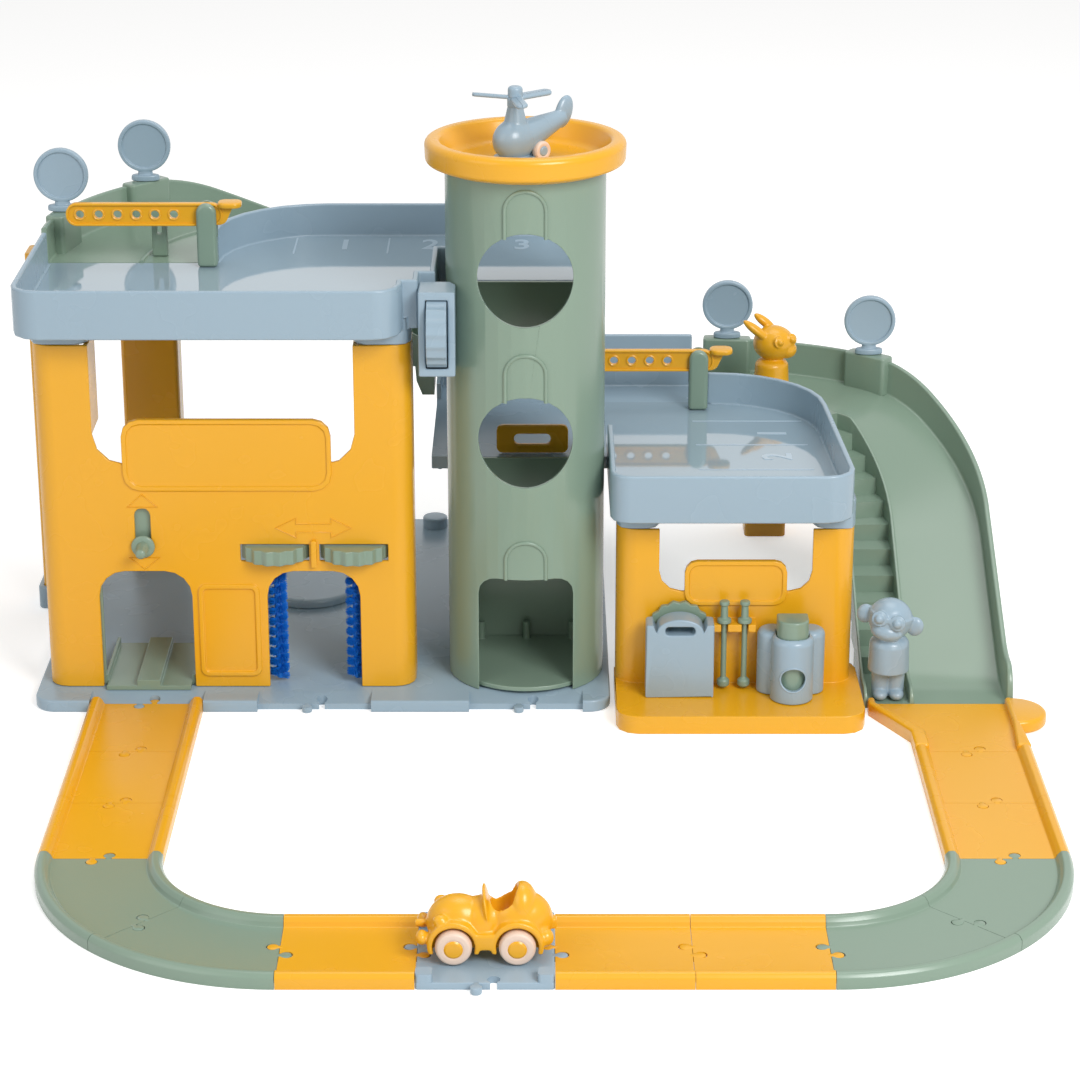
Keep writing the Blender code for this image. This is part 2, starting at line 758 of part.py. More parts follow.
def make_base():
    """Base plate with three track sockets, a leg socket, the turntable's bore and a small boss."""
    x = (BASE_LEFT, BASE_RIGHT)
    y = (BASE_FRONT, BASE_BACK)
    plate = outline_solid("base_plate", [rounded_rectangle(x, y, BASE_CORNER, 2)], 0.0, BASE_THICK)
    half = TILE_WIDTH / 2 + GAP
    for index, socket_x in enumerate((LEFT_ARCH_X, RIGHT_ARCH_X, 0.0)):
        edge = JOINT_Y + GAP / 2
        recess = box(
            f"socket_{index}",
            (socket_x - half, socket_x + half),
            (BASE_FRONT - 1 * MM, edge),
            (-1 * MM, BASE_THICK + 1 * MM),
        )
        slope = [
            (BASE_FRONT - 1 * MM, TILE_FLOOR),
            (edge, TILE_FLOOR),
            (edge + SOCKET_SLOPE, BASE_THICK + GAP),
            (BASE_FRONT - 1 * MM, BASE_THICK + 2 * MM),
        ]
        slope_cutter = outline_solid(f"socket_slope_{index}", [slope], socket_x - half, socket_x + half, "YZ")
        cut(plate, slope_cutter, recess)
        add_hooks(plate, (socket_x, JOINT_Y), 180)
    for index, (centre, size) in enumerate(leg_places(UPPER_TURN, 90)):
        across = (UPPER_TURN[1] - centre[1], centre[0] - UPPER_TURN[0])
        reach = math.hypot(*across) / (size[1] / 2)
        web = [
            (centre[0] - across[0] / reach, centre[1] - across[1] / reach),
            (centre[0] + across[0] / reach, centre[1] + across[1] / reach),
            UPPER_TURN,
        ]
        join(plate, outline_solid(f"leg_web_{index}", [web], 0.5 * MM, BASE_THICK - 0.5 * MM))
        socket = centred_rectangle(centre, (size[0] + 7 * MM, size[1] + 7 * MM), 5 * MM, 2)
        bore = centred_rectangle(centre, (size[0] + 2 * GAP, size[1] + 2 * GAP), 2 * MM, 1)
        join(plate, outline_solid(f"leg_socket_{index}", [socket], 0.0, BASE_THICK * 2))
        cut(plate, outline_solid(f"leg_bore_{index}", [bore], BASE_THICK, BASE_THICK * 3))
    boss = rod("rear_boss", 9 * MM, 1 * MM, BASE_THICK * 2, (-68 * MM, BASE_BACK - 16 * MM))
    bore = rod(
        "turntable_bore", TURNTABLE_PIN + GAP, -1 * MM, BASE_THICK + 1 * MM, (TURNTABLE_X, TURNTABLE_Y)
    )
    join(plate, boss)
    cut(plate, bore)
    paint(plate, MATERIALS["blue"])


def make_turntable():
    """Disc that turns on a pin in the base plate."""
    top = TURNTABLE_TOP
    under = BASE_THICK + GAP
    profile = [
        (0.0, top),
        (TURNTABLE_RADIUS - 3 * MM, top),
        (TURNTABLE_RADIUS, top - 1.5 * MM),
        (TURNTABLE_RADIUS, under),
        (TURNTABLE_PIN, under),
        (TURNTABLE_PIN, 1 * MM),
        (0.0, 1 * MM),
    ]
    disc = turned("turntable", profile, (TURNTABLE_X, TURNTABLE_Y), 24)
    paint(disc, MATERIALS["blue"])


def channel_outline(left, right, front, depth, wall, corner):
    """Plan of a wall with round front corners and both ends turned back."""
    back = front + depth
    outer = [(left, back)]
    outer += arc((left + corner, front + corner), corner, 180, 270, 4)
    outer += arc((right - corner, front + corner), corner, 270, 360, 4)
    outer += [(right, back)]
    inner_corner = corner - wall
    inner = [(right - wall, back)]
    inner += arc((right - corner, front + corner), inner_corner, 360, 270, 4)
    inner += arc((left + corner, front + corner), inner_corner, 270, 180, 4)
    inner += [(left + wall, back)]
    return outer + inner


def add_board(wall, name, centre, size, corner, front, back):
    """Blank board with a raised bead round it, on a wall whose face is at front."""
    board = outline_solid(name, [centred_rectangle(centre, size, corner)], front - 0.4 * MM, back, "XZ")
    inner = (size[0] - 2 * BEAD_WIDTH, size[1] - 2 * BEAD_WIDTH)
    bead_lines = [
        centred_rectangle(centre, size, corner),
        centred_rectangle(centre, inner, corner - BEAD_WIDTH * 0.7),
    ]
    bead = outline_solid(name + "_bead", bead_lines, front - BEAD_HEIGHT, front + 0.5 * MM, "XZ")
    join(wall, board, bead)


def make_front_wall():
    """Front of the left building: two arches, a big upper opening, slots and blank boards."""
    low = BASE_THICK + GAP
    plan = channel_outline(WALL_LEFT, WALL_RIGHT, WALL_FRONT, COLUMN_DEPTH, WALL_THICK, COLUMN_CORNER)
    wall = outline_solid("front_wall", [plan], low, WALL_TOP)
    opening_left = WALL_LEFT + COLUMN_WIDTH
    opening_right = WALL_RIGHT - COLUMN_WIDTH
    opening = rounded_rectangle((opening_left, opening_right), (SILL, WALL_TOP + 40 * MM), 20 * MM)
    cutter_y = (WALL_FRONT - 5 * MM, WALL_FRONT + WALL_THICK + 2 * MM)
    cut(wall, outline_solid("upper_opening", [opening], *cutter_y, "XZ"))
    returns = (WALL_FRONT + 0.6 * MM, WALL_FRONT + COLUMN_DEPTH)
    sides = ((opening_left - WALL_THICK, opening_left), (opening_right, opening_right + WALL_THICK))
    for index, side in enumerate(sides):
        join(wall, box(f"column_return_{index}", side, returns, (SILL + 20 * MM, WALL_TOP)))
    add_board(wall, "name_board", BOARD_CENTRE, BOARD_SIZE, BOARD_CORNER, WALL_FRONT, WALL_FRONT + WALL_THICK)
    for index, arch_x in enumerate((LEFT_ARCH_X, RIGHT_ARCH_X)):
        doorway = arch(arch_x, ARCH_WIDTH, low - 1 * MM, ARCH_TOP, ARCH_CORNER)
        cut(wall, outline_solid(f"arch_{index}", [doorway], *cutter_y, "XZ"))
    slot = rounded_rectangle(
        (LEFT_ARCH_X - LEVER_SLOT_WIDTH / 2, LEFT_ARCH_X + LEVER_SLOT_WIDTH / 2),
        LEVER_SLOT,
        LEVER_SLOT_WIDTH / 2 - 0.2 * MM,
    )
    cut(wall, outline_solid("lever_slot", [slot], *cutter_y, "XZ"))
    for index, axis_x in enumerate(WHEEL_AXES_X):
        x = (axis_x - THUMB_SLOT_WIDTH / 2, axis_x + THUMB_SLOT_WIDTH / 2)
        cut(wall, box(f"thumb_slot_{index}", x, cutter_y, THUMB_SLOT))
    bead_lines = [
        centred_rectangle(POSTER_CENTRE, POSTER_SIZE, POSTER_CORNER),
        centred_rectangle(
            POSTER_CENTRE,
            (POSTER_SIZE[0] - 2 * BEAD_WIDTH, POSTER_SIZE[1] - 2 * BEAD_WIDTH),
            POSTER_CORNER - 2 * MM,
        ),
    ]
    join(wall, outline_solid("poster_bead", bead_lines, WALL_FRONT - BEAD_HEIGHT, WALL_FRONT + 1 * MM, "XZ"))
    bracket_z = THUMB_SLOT[0] + BRUSH_TOP_CLEAR - 4 * MM
    for index, axis_x in enumerate(WHEEL_AXES_X):
        shelf = outline_solid(
            f"brush_bracket_{index}",
            [bracket_outline(axis_x)],
            bracket_z,
            bracket_z + 2.5 * MM,
        )
        join(wall, shelf)
        cut(wall, rod(f"brush_bearing_{index}", BRUSH_CORE + GAP, 80 * MM, 99 * MM, (axis_x, WHEEL_AXIS_Y), segments=10))
    paint(wall, MATERIALS["yellow"])


def bracket_outline(axis_x):
    """Small shelf behind the wall that holds a brush shaft just under its thumb wheel."""
    front = WALL_FRONT + WALL_THICK - 1 * MM
    half = 7 * MM
    return [(axis_x - half, front), (axis_x + half, front)] + arc((axis_x, WHEEL_AXIS_Y), half, 0, 180, 5)


def make_wash():
    """Two brushes, each fixed on the shaft of its thumb wheel."""
    for side, axis_x in zip(("left", "right"), WHEEL_AXES_X):
        centre = (axis_x, WHEEL_AXIS_Y)
        low = THUMB_SLOT[0] + 0.8 * MM
        high = THUMB_SLOT[1] - 0.8 * MM
        outline = toothed(centre, THUMB_RADIUS, THUMB_TOOTH, THUMB_TEETH)
        wheel = outline_solid(f"thumb_wheel_{side}", [outline], low, high)
        cut(wheel, rod(f"wheel_bore_{side}", BRUSH_CORE + GAP, low - 1 * MM, high - 3 * MM, centre, segments=12))
        set_origin(wheel, (*centre, 0.0))
        paint(wheel, MATERIALS["green"])
        make_brush(f"wash_brush_{side}", centre, high - 3 * MM - GAP)


def make_brush(name, centre, shaft_top):
    """A core whose faces are drawn out into four-sided bristles, in rows that climb round it."""
    bm = bmesh.new()
    rings = []
    for row in range(BRISTLE_ROWS + 1):
        height = BRUSH_LOW + (BRUSH_HIGH - BRUSH_LOW) * row / BRISTLE_ROWS
        rings.append(brush_ring(bm, height, row * BRISTLE_TWIST))
    rings.append(brush_ring(bm, shaft_top, BRISTLE_ROWS * BRISTLE_TWIST))
    bm.faces.new(list(reversed(rings[0])))
    bm.faces.new(rings[-1])
    for row, (lower, upper) in enumerate(zip(rings, rings[1:])):
        for side in range(BRISTLES_A_ROW):
            after = (side + 1) % BRISTLES_A_ROW
            corners = (lower[side], lower[after], upper[after], upper[side])
            if row == BRISTLE_ROWS:
                bm.faces.new(corners)
                continue
            angle = math.tau * (side + 0.5 + BRISTLE_TWIST * (row + 0.5)) / BRISTLES_A_ROW
            height = BRUSH_LOW + (BRUSH_HIGH - BRUSH_LOW) * (row + 0.5) / BRISTLE_ROWS
            tip = bm.verts.new((BRUSH_RADIUS * math.cos(angle), BRUSH_RADIUS * math.sin(angle), height))
            for first, second in zip(corners, corners[1:] + corners[:1]):
                bm.faces.new((first, second, tip))
    brush = mesh_object(name, bm)
    brush.location = (*centre, 0.0)
    paint(brush, MATERIALS["bristle"])


def brush_ring(bm, height, twist):
    """One ring of a brush's core, turned by a part of a bristle's width."""
    ring = []
    for side in range(BRISTLES_A_ROW):
        angle = math.tau * (side + twist) / BRISTLES_A_ROW
        ring.append(bm.verts.new((BRUSH_CORE * math.cos(angle), BRUSH_CORE * math.sin(angle), height)))
    return ring


def make_hoist():
    """Platform in the left arch, and the knob that lifts it through an arm behind the wall."""
    low = BASE_THICK + GAP
    centre = LEFT_ARCH_X
    inside = WALL_FRONT + WALL_THICK + GAP
    wide = (centre - HOIST_WIDTH / 2, centre + HOIST_WIDTH / 2)
    narrow = (centre - HOIST_LIP_WIDTH / 2, centre + HOIST_LIP_WIDTH / 2)
    platform = box("hoist_platform", wide, (inside, HOIST_BACK), (low, low + HOIST_THICK))
    join(platform, box("hoist_lip", narrow, (HOIST_FRONT, inside + 2 * MM), (low, low + HOIST_THICK)))
    for index, x in enumerate(((wide[0], wide[0] + 2 * MM), (wide[1] - 2 * MM, wide[1]))):
        join(platform, box(f"hoist_rail_{index}", x, (inside, HOIST_BACK), (low + 1 * MM, low + HOIST_RAIL)))
    bar = (centre - HOIST_BAR / 2, centre + HOIST_BAR / 2)
    join(platform, box("hoist_bar", bar, (HOIST_FRONT, HOIST_BACK), (low + 1 * MM, low + HOIST_RAIL)))
    arm_y = (inside, inside + HOIST_ARM_THICK)
    arm_x = (HOIST_ARM_X, wide[0] + 1 * MM)
    cross_z = (ARCH_TOP + 3 * MM, ARCH_TOP + 12 * MM)
    cheek_x = (centre - 8 * MM, centre + 8 * MM)
    join(platform, box("hoist_arm", arm_x, arm_y, (low + 1 * MM, cross_z[1])))
    join(platform, box("hoist_cross", (HOIST_ARM_X, cheek_x[1]), arm_y, cross_z))
    join(platform, box("hoist_cheek", cheek_x, arm_y, (cross_z[0], LEVER_SLOT[1] + 4 * MM)))
    bore = rod("knob_bore", KNOB_RADIUS - 1 * MM + GAP, inside - 1 * MM, arm_y[1] + 1 * MM, (centre, KNOB_Z), "Y")
    cut(platform, bore)
    set_origin(platform, (centre, inside, low))
    paint(platform, MATERIALS["green"])
    knob = rod("hoist_lever", KNOB_RADIUS, WALL_FRONT - KNOB_LENGTH, inside - GAP, (centre, KNOB_Z), "Y")
    flange_y = (WALL_FRONT - 3 * MM, WALL_FRONT - GAP * 2)
    join(knob, rod("knob_flange", KNOB_FLANGE, *flange_y, (centre, KNOB_Z), "Y"))
    stem_y = (inside - 2 * MM, arm_y[1])
    join(knob, rod("knob_stem", KNOB_RADIUS - 1 * MM, *stem_y, (centre, KNOB_Z), "Y"))
    set_origin(knob, (centre, inside, KNOB_Z))
    paint(knob, MATERIALS["green"])


def make_tower():
    """Round front shell, rear frame, lift platform and the dish on top."""
    low = BASE_THICK + GAP
    outer = [(TOWER_RADIUS, TOWER_SIDE)]
    outer += arc((0, 0), TOWER_RADIUS, 0, -180, TOWER_STEPS)
    outer += [(-TOWER_RADIUS, TOWER_SIDE)]
    inner_radius = TOWER_RADIUS - TOWER_WALL
    inner = [(-inner_radius, TOWER_SIDE)]
    inner += arc((0, 0), inner_radius, -180, 0, TOWER_STEPS)
    inner += [(inner_radius, TOWER_SIDE)]
    shell = outline_solid("tower_shell", [outer + inner], low, TOWER_TOP)
    for index, height in enumerate(WINDOW_HEIGHTS):
        window_y = (-TOWER_RADIUS - 5 * MM, 0.0)
        cut(shell, rod(f"window_{index}", WINDOW_RADIUS, *window_y, (0.0, height), "Y", segments=20))
    door = arch(0.0, DOOR_WIDTH, low - 1 * MM, DOOR_TOP, DOOR_CORNER)
    cut(shell, outline_solid("tower_door", [door], -TOWER_RADIUS - 5 * MM, 0.0, "XZ"))
    paint(shell, MATERIALS["green"])

    front = TOWER_SIDE + GAP
    frame_plan = [
        (-TOWER_RADIUS, front),
        (-inner_radius, front),
        (-inner_radius, TOWER_BACK - TOWER_WALL),
        (inner_radius, TOWER_BACK - TOWER_WALL),
        (inner_radius, front),
        (TOWER_RADIUS, front),
        (TOWER_RADIUS, TOWER_BACK),
        (-TOWER_RADIUS, TOWER_BACK),
    ]
    frame = outline_solid("tower_frame", [frame_plan], low, TOWER_TOP)
    half = REAR_OPENING_WIDTH / 2
    for index, floor in enumerate((MIDDLE_FLOOR, UPPER_FLOOR)):
        opening_z = (floor, floor + REAR_OPENING_HEIGHT)
        opening_y = (TOWER_BACK - TOWER_WALL - 2 * MM, TOWER_BACK + 2 * MM)
        cut(frame, box(f"rear_opening_{index}", (-half, half), opening_y, opening_z))
    slot_y = (front + 6 * MM, TOWER_BACK - TOWER_WALL - 6 * MM)
    slot_z = (UPPER_FLOOR + 16 * MM, UPPER_FLOOR + 56 * MM)
    cut(frame, box("side_slot", (-TOWER_RADIUS - 2 * MM, -inner_radius + 2 * MM), slot_y, slot_z))
    paint(frame, MATERIALS["green"])
    make_lift(inner_radius)
    make_dish()


def make_lift(inner_radius):
    """Lift platform with three short posts at its back."""
    reach = inner_radius - LIFT_CLEAR
    back = TOWER_BACK - TOWER_WALL - LIFT_CLEAR
    plan = [(reach, back), (-reach, back)] + arc((0, 0), reach, 180, 360, 20)
    platform = outline_solid("lift_platform", [plan], LIFT_LOW, LIFT_LOW + LIFT_THICK)
    for index, x in enumerate((-30 * MM, 0.0, 30 * MM)):
        post = rod(
            f"lift_post_{index}",
            2.5 * MM,
            LIFT_LOW + 1 * MM,
            LIFT_LOW + LIFT_THICK + LIFT_POST,
            (x, back - 5 * MM),
            segments=12,
        )
        join(platform, post)
    paint(platform, MATERIALS["green"])


def make_dish():
    """Heliport dish that closes the tower's top."""
    low = TOWER_TOP + GAP
    top = low + DISH_HEIGHT
    floor = low + DISH_WALL
    profile = [
        (0.0, floor),
        (DISH_FLOOR_RADIUS - 2 * MM, floor),
        (DISH_FLOOR_RADIUS + 2 * MM, floor + 4 * MM),
        (DISH_FLOOR_RADIUS + 4 * MM, top - 1 * MM),
        (DISH_FLOOR_RADIUS + 7 * MM, top),
        (DISH_RADIUS - 1 * MM, top - 1.5 * MM),
        (DISH_RADIUS, top - 4 * MM),
        (DISH_RADIUS - 1.5 * MM, low + 4 * MM),
        (DISH_RADIUS - 6 * MM, low),
        (0.0, low),
    ]
    paint(turned("heliport_dish", profile, (0.0, 0.0), 26), MATERIALS["yellow"])


def make_crank():
    """Thumb wheel that winds the lift, between the cheeks of its housing."""
    half = CRANK_WIDTH / 2
    centre = (CRANK_Y, CRANK_Z)
    outline = toothed(centre, CRANK_RADIUS, CRANK_TOOTH, CRANK_TEETH)
    wheel = outline_solid("crank_wheel", [outline], CRANK_X - half, CRANK_X + half, "YZ")
    pin_x = (CRANK_X - half - CRANK_PIN_REACH, CRANK_X + half + CRANK_PIN_REACH)
    join(wheel, rod("crank_pin", CRANK_PIN, *pin_x, centre, "X", segments=10))
    set_origin(wheel, (CRANK_X, CRANK_Y, CRANK_Z))
    paint(wheel, MATERIALS["blue"])

    slot = half + 2 * GAP
    x = (CRANK_X - slot - CRANK_CHEEK, CRANK_X + slot + CRANK_CHEEK)
    z = (CRANK_Z - CRANK_HOUSING_HALF, CRANK_Z + CRANK_HOUSING_HALF)
    housing = box("crank_housing", x, (CRANK_HOUSING_FRONT, CRANK_HOUSING_BACK), z)
    well = rod("crank_well", CRANK_RADIUS + 1 * MM, CRANK_X - slot, CRANK_X + slot, centre, "X", segments=24)
    bore = rod("crank_bore", CRANK_PIN + GAP, pin_x[0] - GAP, pin_x[1] + GAP, centre, "X", segments=10)
    clear = rod("tower_clear", TOWER_RADIUS + 2 * GAP, z[0] - 1 * MM, z[1] + 1 * MM, segments=40)
    cut(housing, well, bore, clear)
    paint(housing, MATERIALS["blue"])


def make_deck(name, outline, floor, openings):
    """Tray with a floor, a hollow underside and a rim that is left open between pairs of limits."""
    low = floor - DECK_SKIRT
    top = floor + RIM_HEIGHT
    deck = outline_solid(name, [outline], low, top)
    inner = inset(outline, RIM_THICK)
    above = outline_solid(name + "_above", [inner], floor, top + 1 * MM)
    below = outline_solid(name + "_below", [inner], low - 1 * MM, floor - DECK_THICK)
    cut(deck, above, below)
    for index, (x, y) in enumerate(openings):
        cut(deck, box(f"{name}_gap_{index}", x, y, (floor, top + 2 * MM)))
    return deck


def make_upper_deck():
    """Upper tray: open to the tower's back and to the upper ramp."""
    tower_left = -TOWER_RADIUS - 6 * MM
    tower_back = TOWER_BACK + 1 * MM
    housing_left = CRANK_X - CRANK_WIDTH / 2 - 2 * GAP - CRANK_CHEEK - GAP
    turn_x, turn_y = UPPER_TURN
    corners_front = rounded_outline(
        [
            (UPPER_LEFT, BASE_FRONT, RIM_CORNER),
            (UPPER_FRONT_RIGHT, BASE_FRONT, RIM_CORNER),
            (UPPER_FRONT_RIGHT, -32 * MM, 0),
            (housing_left, -32 * MM, 0),
            (housing_left, -12 * MM, 0),
            (tower_left, -12 * MM, 0),
            (tower_left, tower_back, 0),
            (UPPER_RIGHT, tower_back, 0),
            (UPPER_RIGHT, turn_y + TURN_INNER, RIM_CORNER),
            (turn_x, turn_y + TURN_INNER, 0),
            (turn_x - TURN_INNER, turn_y, 0),
            (UPPER_LEFT, turn_y, 0),
        ]
    )
    outline = corners_front[:-3] + arc(UPPER_TURN, TURN_INNER, 90, 180, 7) + [(UPPER_LEFT, turn_y)]
    half = REAR_OPENING_WIDTH / 2
    openings = [
        ((-half, half), (tower_back - 5 * MM, tower_back + 8 * MM)),
        ((UPPER_LEFT - 2 * MM, turn_x - TURN_INNER + 5 * MM), (turn_y - 6 * MM, turn_y + 1 * MM)),
    ]
    deck = make_deck("upper_deck", outline, UPPER_FLOOR, openings)
    collars = (
        (WALL_LEFT, WALL_LEFT + COLUMN_WIDTH),
        (WALL_RIGHT - COLUMN_WIDTH, WALL_RIGHT),
    )
    for index, x in enumerate(collars):
        collar_y = (WALL_FRONT, WALL_FRONT + COLUMN_DEPTH)
        collar = rounded_rectangle(x, collar_y, 8 * MM, 2)
        z = (WALL_TOP + GAP, UPPER_FLOOR - DECK_THICK + 1 * MM)
        join(deck, outline_solid(f"upper_collar_{index}", [collar], *z))
    paint(deck, MATERIALS["blue"])


def make_middle_deck():
    """Middle tray, and the lane behind the tower that joins the two ramps."""
    turn_x, turn_y = MIDDLE_TURN
    tower_back = TOWER_BACK + 1 * MM
    lane_low = turn_y + LANE_RADIUS - LANE_HALF
    lane_high = turn_y + LANE_RADIUS + LANE_HALF
    lane_right = turn_x - 2.5 * MM
    back = turn_y + TURN_INNER
    corners = [
        (MIDDLE_LEFT, BASE_FRONT, 12 * MM),
        (MIDDLE_FRONT_RIGHT, BASE_FRONT, RIM_CORNER),
        (turn_x + TURN_INNER, turn_y, 0),
        (MIDDLE_LEFT, back, 0),
    ]
    front = rounded_outline(corners)[:-2]
    outline = front + arc(MIDDLE_TURN, TURN_INNER, 0, 90, 7) + [(MIDDLE_LEFT, back)]
    openings = [
        ((MIDDLE_LEFT - 2 * MM, MIDDLE_LEFT + RIM_THICK + 1 * MM), (tower_back, back + 2 * MM)),
        ((MIDDLE_LEFT - 2 * MM, turn_x - 4 * MM), (back - RIM_THICK - 2 * MM, back + 2 * MM)),
    ]
    deck = make_deck("middle_deck", outline, MIDDLE_FLOOR, openings)
    lap = 5 * MM
    lane_line = [
        (MIDDLE_BACK_LEFT, tower_back),
        (MIDDLE_LEFT + lap, tower_back),
        (MIDDLE_LEFT + lap, back - lap),
        (lane_right, back - lap),
        (lane_right, lane_high),
        (MIDDLE_LANE_LEFT, lane_high),
        (MIDDLE_LANE_LEFT, lane_low),
        (MIDDLE_BACK_LEFT, lane_low),
    ]
    low = MIDDLE_FLOOR - DECK_SKIRT + 0.4 * MM
    top = MIDDLE_FLOOR - GAP
    lane = outline_solid("middle_lane", [lane_line], low, top)
    under = outline_solid("middle_lane_under", [inset(lane_line, RIM_THICK)], low - 1 * MM, top - DECK_THICK)
    cut(lane, under)
    wall_z = (MIDDLE_FLOOR - 1.5 * MM, REAR_WALL_TOP)
    wall_line = rounded_rectangle((MIDDLE_BACK_LEFT + 0.5 * MM, REAR_WALL_RIGHT), wall_z, 1 * MM, 1)
    rear_wall = outline_solid("rear_wall", [wall_line], REAR_WALL_Y, REAR_WALL_Y + RIM_THICK, "XZ")
    end_wall = box(
        "end_skirt",
        (MIDDLE_BACK_LEFT - 0.5 * MM, MIDDLE_BACK_LEFT + RIM_THICK - 0.8 * MM),
        (REAR_WALL_Y - 30 * MM, REAR_WALL_Y + RIM_THICK - 0.5 * MM),
        (MIDDLE_FLOOR - 52 * MM, MIDDLE_FLOOR + 11 * MM),
    )
    join(deck, lane, rear_wall, end_wall)
    left, right = STATION_WALL
    for index, x in enumerate(((left, left + STATION_COLUMN), (right - STATION_COLUMN, right))):
        collar_y = (STATION_WALL_FRONT, STATION_WALL_FRONT + STATION_DEPTH)
        collar = rounded_rectangle(x, collar_y, 8 * MM, 2)
        z = (STATION_TOP + GAP, MIDDLE_FLOOR - DECK_THICK + 1 * MM)
        join(deck, outline_solid(f"middle_collar_{index}", [collar], *z))
    paint(deck, MATERIALS["blue"])


def lane_path(distance):
    """Place on a ramp's centre line, its outward direction and its angle round the turn.

    The line starts at the foot, runs straight along +Y and then turns left round (0, 0).
    """
    if distance <= LANE_STRAIGHT:
        return (LANE_RADIUS, distance - LANE_STRAIGHT), (1.0, 0.0)
    angle = (distance - LANE_STRAIGHT) / LANE_RADIUS
    outward = (math.cos(angle), math.sin(angle))
    return (LANE_RADIUS * outward[0], LANE_RADIUS * outward[1]), outward


def lane_height(distance, foot, top):
    return min(top, max(foot, foot + (distance - LANE_FOOT) * LANE_SLOPE))


def stair_levels(foot, top, stair_start):
    """Height of the stairs at the foot and the head of each riser, by distance along the ramp."""
    steps = round((top - foot) / STAIR_RISE)
    rise = (top - foot) / steps
    levels = {}
    for index in range(1, steps + 1):
        at = LANE_FOOT + rise / LANE_SLOPE * index
        if at - RISER_RUN <= stair_start:
            continue
        levels[at - RISER_RUN] = foot + rise * (index - 1)
        levels[at] = foot + rise * index
    return levels


def ramp_section(distance, foot, top, stair_start, levels):
    """Section across a ramp as (distance outwards, height), with a little draft on each wall."""
    floor = lane_height(distance, foot, top)
    wall_top = min(floor + INNER_WALL, top)
    earlier = [at for at in levels if at <= distance]
    level = levels[max(earlier)] if earlier else foot
    stair_edge = -LANE_HALF - STAIR_WIDTH
    if distance > LANE_STRAIGHT:
        part = min(1.0, (distance - LANE_STRAIGHT) / (LANE_RADIUS * math.radians(LANDING_START - 8)))
        landing_edge = TURN_INNER + LANDING_GAP - LANE_RADIUS
        stair_edge += (landing_edge - stair_edge) * part
    under = max(foot, level - STAIR_RISE) - LANE_THICK
    if distance < stair_start:
        stair_edge = -LANE_HALF - 2.8 * MM
        level = floor
        under = floor - LANE_THICK
    if level == top:
        under = top - LANE_THICK
    draft = 0.4 * MM
    return [
        (LANE_HALF, floor - LANE_THICK),
        (LANE_HALF, floor + OUTER_WALL),
        (LANE_HALF - OUTER_WALL_THICK + draft, floor + OUTER_WALL),
        (LANE_HALF - OUTER_WALL_THICK, floor),
        (-LANE_HALF + INNER_WALL_THICK, floor),
        (-LANE_HALF + INNER_WALL_THICK - draft, wall_top),
        (-LANE_HALF + draft, wall_top),
        (-LANE_HALF, level),
        (stair_edge + 2 * MM + draft, level),
        (stair_edge + 2 * MM, wall_top),
        (stair_edge, wall_top),
        (stair_edge, under),
        (-LANE_HALF, under),
        (-LANE_HALF + draft, floor - LANE_THICK),
    ]


def ramp_stations(foot, top, stair_start, levels):
    """Distances from the foot at which a ramp's section is set."""
    crest = LANE_FOOT + (top - foot) / LANE_SLOPE
    end = LANE_STRAIGHT + LANE_RADIUS * math.pi / 2
    stations = {0.0, LANE_FOOT, LANE_STRAIGHT, crest + RISER_RUN, end} | set(levels)
    if stair_start:
        stations |= {stair_start - RISER_RUN, stair_start}
    for step in range(1, 4):
        stations.add(crest + (end - crest) * step / 4)
    return sorted(stations)


def make_ramp(name, foot, top, turn, heading, stair_start, sign_angles):
    """Lane with an outer wall, stairs on its inner side, a landing and two sign blocks."""
    levels = stair_levels(foot, top, stair_start)
    rings = []
    for distance in ramp_stations(foot, top, stair_start, levels):
        (x, y), outward = lane_path(distance)
        section = ramp_section(distance, foot, top, stair_start, levels)
        ring = []
        for across, height in section:
            ring.append((x + outward[0] * across, y + outward[1] * across, height))
        rings.append(ring)
    ramp = loft(name, rings)
    for index, angle in enumerate(sign_angles):
        length, depth, height = SIGN_BLOCK
        reach = LANE_RADIUS + LANE_HALF
        block = box(
            f"{name}_sign_block_{index}",
            (reach - depth + 2 * MM, reach + 2 * MM),
            (-length / 2, length / 2),
            (top - LANE_THICK + 0.6 * MM, top + height),
        )
        block.data.transform(Matrix.Rotation(math.radians(angle), 4, "Z"))
        join(ramp, block)
    place = Matrix.Translation((turn[0], turn[1], 0.0)) @ Matrix.Rotation(math.radians(heading), 4, "Z")
    ramp.data.transform(place)
    for modifier in ramp.modifiers:
        modifier.object.data.transform(place)
    paint(ramp, MATERIALS["green"])


def turn_point(turn, heading, radius, angle):
    """Point at a radius and angle round a ramp's turn."""
    total = math.radians(angle + heading)
    return (turn[0] + radius * math.cos(total), turn[1] + radius * math.sin(total))


def leg_places(turn, heading):
    """Centres and sizes of the two legs under a ramp's landing and turn."""
    reach = LANE_RADIUS + LANE_HALF
    first = turn_point(turn, heading, reach + 9 * MM, 76)
    second = turn_point(turn, heading, reach, 46)
    return ((first, (30 * MM, 24 * MM)), (second, (40 * MM, 24 * MM)))


